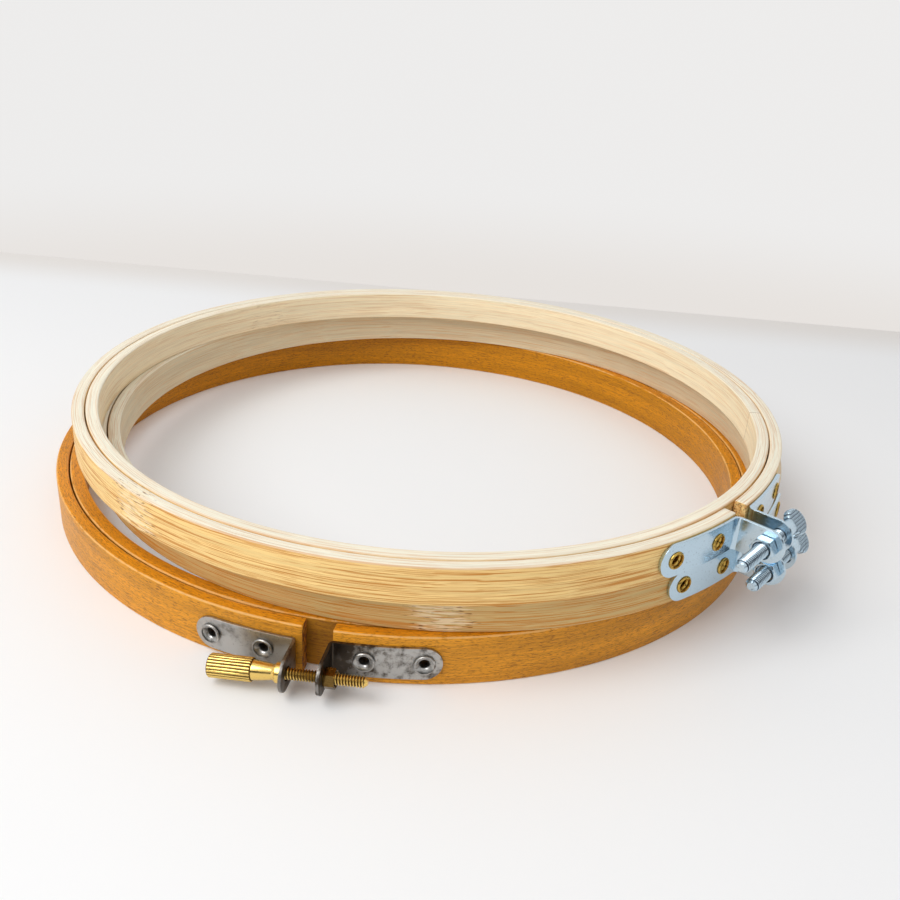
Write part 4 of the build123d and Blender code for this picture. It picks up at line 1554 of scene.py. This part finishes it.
class HOOPS_OT_fluted_screw(bpy.types.Operator):
    """Make the beech hoop's brass screw with its fluted grip"""
    bl_idname = "hoops.fluted_screw"
    bl_label = "Fluted screw"

    def execute(self, context):
        hoop = hoop_sizes("beech")
        piece = clamp_screw("beech_clamp_screw_turned", hoop, finishes_named("Turned brass")[0])
        stand_for(piece, "beech_clamp_screw", "beech_screw")
        return {"FINISHED"}


class HOOPS_OT_spade_screws(bpy.types.Operator):
    """Make the bamboo hoops' screws with their round knurled grips"""
    bl_idname = "hoops.spade_screws"
    bl_label = "Spade screws"

    def execute(self, context):
        for name in HOOPS[1:]:
            hoop = hoop_sizes(name)
            piece = clamp_screw(name + "_clamp_screw_forged", hoop, finishes_named("Zinc screw")[0])
            stand_for(piece, name + "_clamp_screw", name + "_screw")
        return {"FINISHED"}


class HOOPS_OT_nuts(bpy.types.Operator):
    """Make the three hexagonal nuts"""
    bl_idname = "hoops.nuts"
    bl_label = "Nuts"

    def execute(self, context):
        for name in HOOPS:
            hoop = hoop_sizes(name)
            finish = "Aged brass" if name == "beech" else "Zinc screw"
            piece = clamp_nut(name + "_clamp_nut_hexagon", hoop, finishes_named(finish)[0])
            stand_for(piece, name + "_clamp_nut", BODIES[name][-hoop.head_side])
        return {"FINISHED"}


class HOOPS_OT_stage(bpy.types.Operator):
    """Make the table, the background, the light and the camera"""
    bl_idname = "hoops.stage"
    bl_label = "Stage"

    def execute(self, context):
        make_table()
        make_background()
        make_light()
        make_cards()
        make_camera()
        return {"FINISHED"}


# Stage

def flat_panel(name, material, shape):
    """One flat sheet for the stage."""
    work = bmesh.new()
    bmesh.ops.create_grid(work, x_segments=1, y_segments=1, size=1.0)
    return finish_piece(name, work, [material], shape)


def make_table():
    """A white sheet whose far edge shows behind the stack and fades into the background."""
    settings = bpy.context.scene.stage_settings
    material, tree, bsdf = shader("White table")
    place = object_place(tree)
    faint = cloud(tree, place, 14.0, 2.0, 0.5)
    white = tuple(settings.floor)
    darker = tuple(channel * 0.985 for channel in white[:3]) + (1,)
    parts = axes(tree, place)
    past = math_node(tree, "MULTIPLY_ADD", parts["X"], math.sin(TABLE_TURN), -TABLE_EDGE_Y)
    past = math_node(tree, "MULTIPLY_ADD", parts["Y"], math.cos(TABLE_TURN), past)
    fade = ranged(tree, past, *TABLE_FADE)
    sheet = mixed(tree, faint, white, darker)
    glow = times(tree, seen_directly(tree), settings.table_glow)
    feed(tree, bsdf, {
        "Base Color": mixed(tree, fade, sheet, tuple(settings.wall_low)),
        "Roughness": 0.65, "Specular IOR Level": 0.2,
        "Emission Color": mixed(tree, glow, (0, 0, 0, 1), (1, 1, 1, 1)),
        "Emission Strength": 1.0})
    place = Matrix.Translation((TABLE_EDGE_X, TABLE_EDGE_Y, 0)) @ Matrix.Rotation(-TABLE_TURN, 4, "Z")
    spread = Matrix.Diagonal((2.5, 1.3, 1, 1)) @ Matrix.Translation((0, -1, 0))
    table = flat_panel("table_top", material, place @ spread)


def make_background():
    """Even light all round; what the camera and the reflections see is pale grey."""
    settings = bpy.context.scene.stage_settings
    world = bpy.data.worlds.new("Studio")
    bpy.context.scene.world = world
    world.use_nodes = True
    tree = world.node_tree
    tree.nodes.clear()
    ambient = add(tree, "ShaderNodeBackground", {
        "Color": (1.0, 1.0, 1.0, 1.0), "Strength": settings.ambient})
    direction = add(tree, "ShaderNodeTexCoord").outputs["Generated"]
    rise = axes(tree, direction)["Z"]
    height = ranged(tree, rise, *WALL_BAND)
    shown = add(tree, "ShaderNodeBackground", {
        "Color": mixed(tree, height, tuple(settings.wall_low), tuple(settings.wall)),
        "Strength": 1.0})
    both = add(tree, "ShaderNodeMixShader", {
        0: seen_directly(tree), 1: ambient.outputs[0], 2: shown.outputs[0]})
    add(tree, "ShaderNodeOutputWorld", {"Surface": both.outputs[0]})


def make_light():
    """One large soft lamp, high in front on the left."""
    lamp = bpy.data.lights.new("key", "AREA")
    lamp.shape = "RECTANGLE"
    lamp.size = LAMP_SIDE
    lamp.size_y = LAMP_SIDE
    lamp.energy = bpy.context.scene.stage_settings.key_power
    lamp.color = LAMP_COLOUR
    key = in_scene("key", lamp)
    key.location = LAMP_PLACE
    key.rotation_mode = "QUATERNION"
    key.rotation_quaternion = (-key.location).to_track_quat("-Z", "Y")


def make_cards():
    """Dark panels in front and at the right, seen only by the metal's reflections."""
    material, tree, bsdf = shader("Dark card")
    feed(tree, bsdf, {
        "Base Color": tuple(bpy.context.scene.stage_settings.dark_card),
        "Roughness": 0.9, "Specular IOR Level": 0.0})
    upright = Matrix.Rotation(math.radians(90), 4, "X")
    for name, place, facing, wide, tall in (
            ("front_card", (0.05, -0.75, 0.20), 0.0, 0.50, 0.12),
            ("right_card", (0.70, -0.10, 0.22), 80.0, 0.30, 0.10)):
        stand = Matrix.Rotation(math.radians(facing), 4, "Z") @ upright
        shape = Matrix.Translation(place) @ stand @ Matrix.Diagonal((wide, tall, 1, 1))
        card = flat_panel(name, material, shape)
        card.visible_camera = False
        card.visible_diffuse = False
        card.visible_shadow = False
        card.visible_transmission = False


def make_camera():
    """The camera stands in front of the clamps and looks down on the stack."""
    settings = bpy.context.scene.stage_settings
    pitch = settings.pitch
    forward = Vector((0, math.cos(pitch), -math.sin(pitch)))
    right = Vector((1, 0, 0))
    up = right.cross(forward)
    roll = settings.roll
    leaning_right = right * math.cos(roll) + up * math.sin(roll)
    leaning_up = up * math.cos(roll) - right * math.sin(roll)
    data = bpy.data.cameras.new("camera")
    data.sensor_fit = "AUTO"
    data.sensor_width = 36.0
    data.lens = settings.lens
    data.clip_start = 0.01
    data.clip_end = 20.0
    camera = in_scene("camera", data)
    target = hoop_sizes("beech").place.translation
    target = target + Vector((settings.aim_right, settings.aim_back, 0))
    place = Matrix((leaning_right, leaning_up, -forward)).transposed().to_4x4()
    place.translation = target - forward * settings.distance
    camera.matrix_world = place
    bpy.context.scene.camera = camera


# Panel and registration

class HOOPS_PT_panel(bpy.types.Panel):
    bl_label = "Hoop stack"
    bl_idname = "HOOPS_PT_panel"
    bl_space_type = "VIEW_3D"
    bl_region_type = "UI"
    bl_category = "Hoops"

    def draw(self, context):
        for operator in OPERATORS:
            self.layout.operator(operator.bl_idname)


GROUPS = {
    "beech_hoop": BeechHoopSizes,
    "bamboo_clamps": BambooClampSizes,
    "lower_bamboo": LowerBambooSizes,
    "upper_bamboo": UpperBambooSizes,
    "wood_colours": WoodColours,
    "metal_colours": MetalColours,
    "stage_settings": StageSettings}

OPERATORS = (
    HOOPS_OT_outer_rings, HOOPS_OT_inner_rings, HOOPS_OT_brackets, HOOPS_OT_eyelets,
    HOOPS_OT_fluted_screw, HOOPS_OT_spade_screws, HOOPS_OT_nuts, HOOPS_OT_stage)


def register():
    for group in GROUPS.values():
        bpy.utils.register_class(group)
    for name, group in GROUPS.items():
        setattr(bpy.types.Scene, name, bpy.props.PointerProperty(type=group))
    for operator in OPERATORS:
        bpy.utils.register_class(operator)
    bpy.utils.register_class(HOOPS_PT_panel)


def unregister():
    bpy.utils.unregister_class(HOOPS_PT_panel)
    for operator in reversed(OPERATORS):
        bpy.utils.unregister_class(operator)
    for name in GROUPS:
        delattr(bpy.types.Scene, name)
    for group in reversed(GROUPS.values()):
        bpy.utils.unregister_class(group)


def main():
    register()
    bpy.context.scene.view_settings.view_transform = "Standard"
    bpy.ops.hoops.outer_rings()
    bpy.ops.hoops.inner_rings()
    bpy.ops.hoops.brackets()
    bpy.ops.hoops.eyelets()
    bpy.ops.hoops.fluted_screw()
    bpy.ops.hoops.spade_screws()
    bpy.ops.hoops.nuts()
    bpy.ops.hoops.stage()


if __name__ == "__main__":
    main()
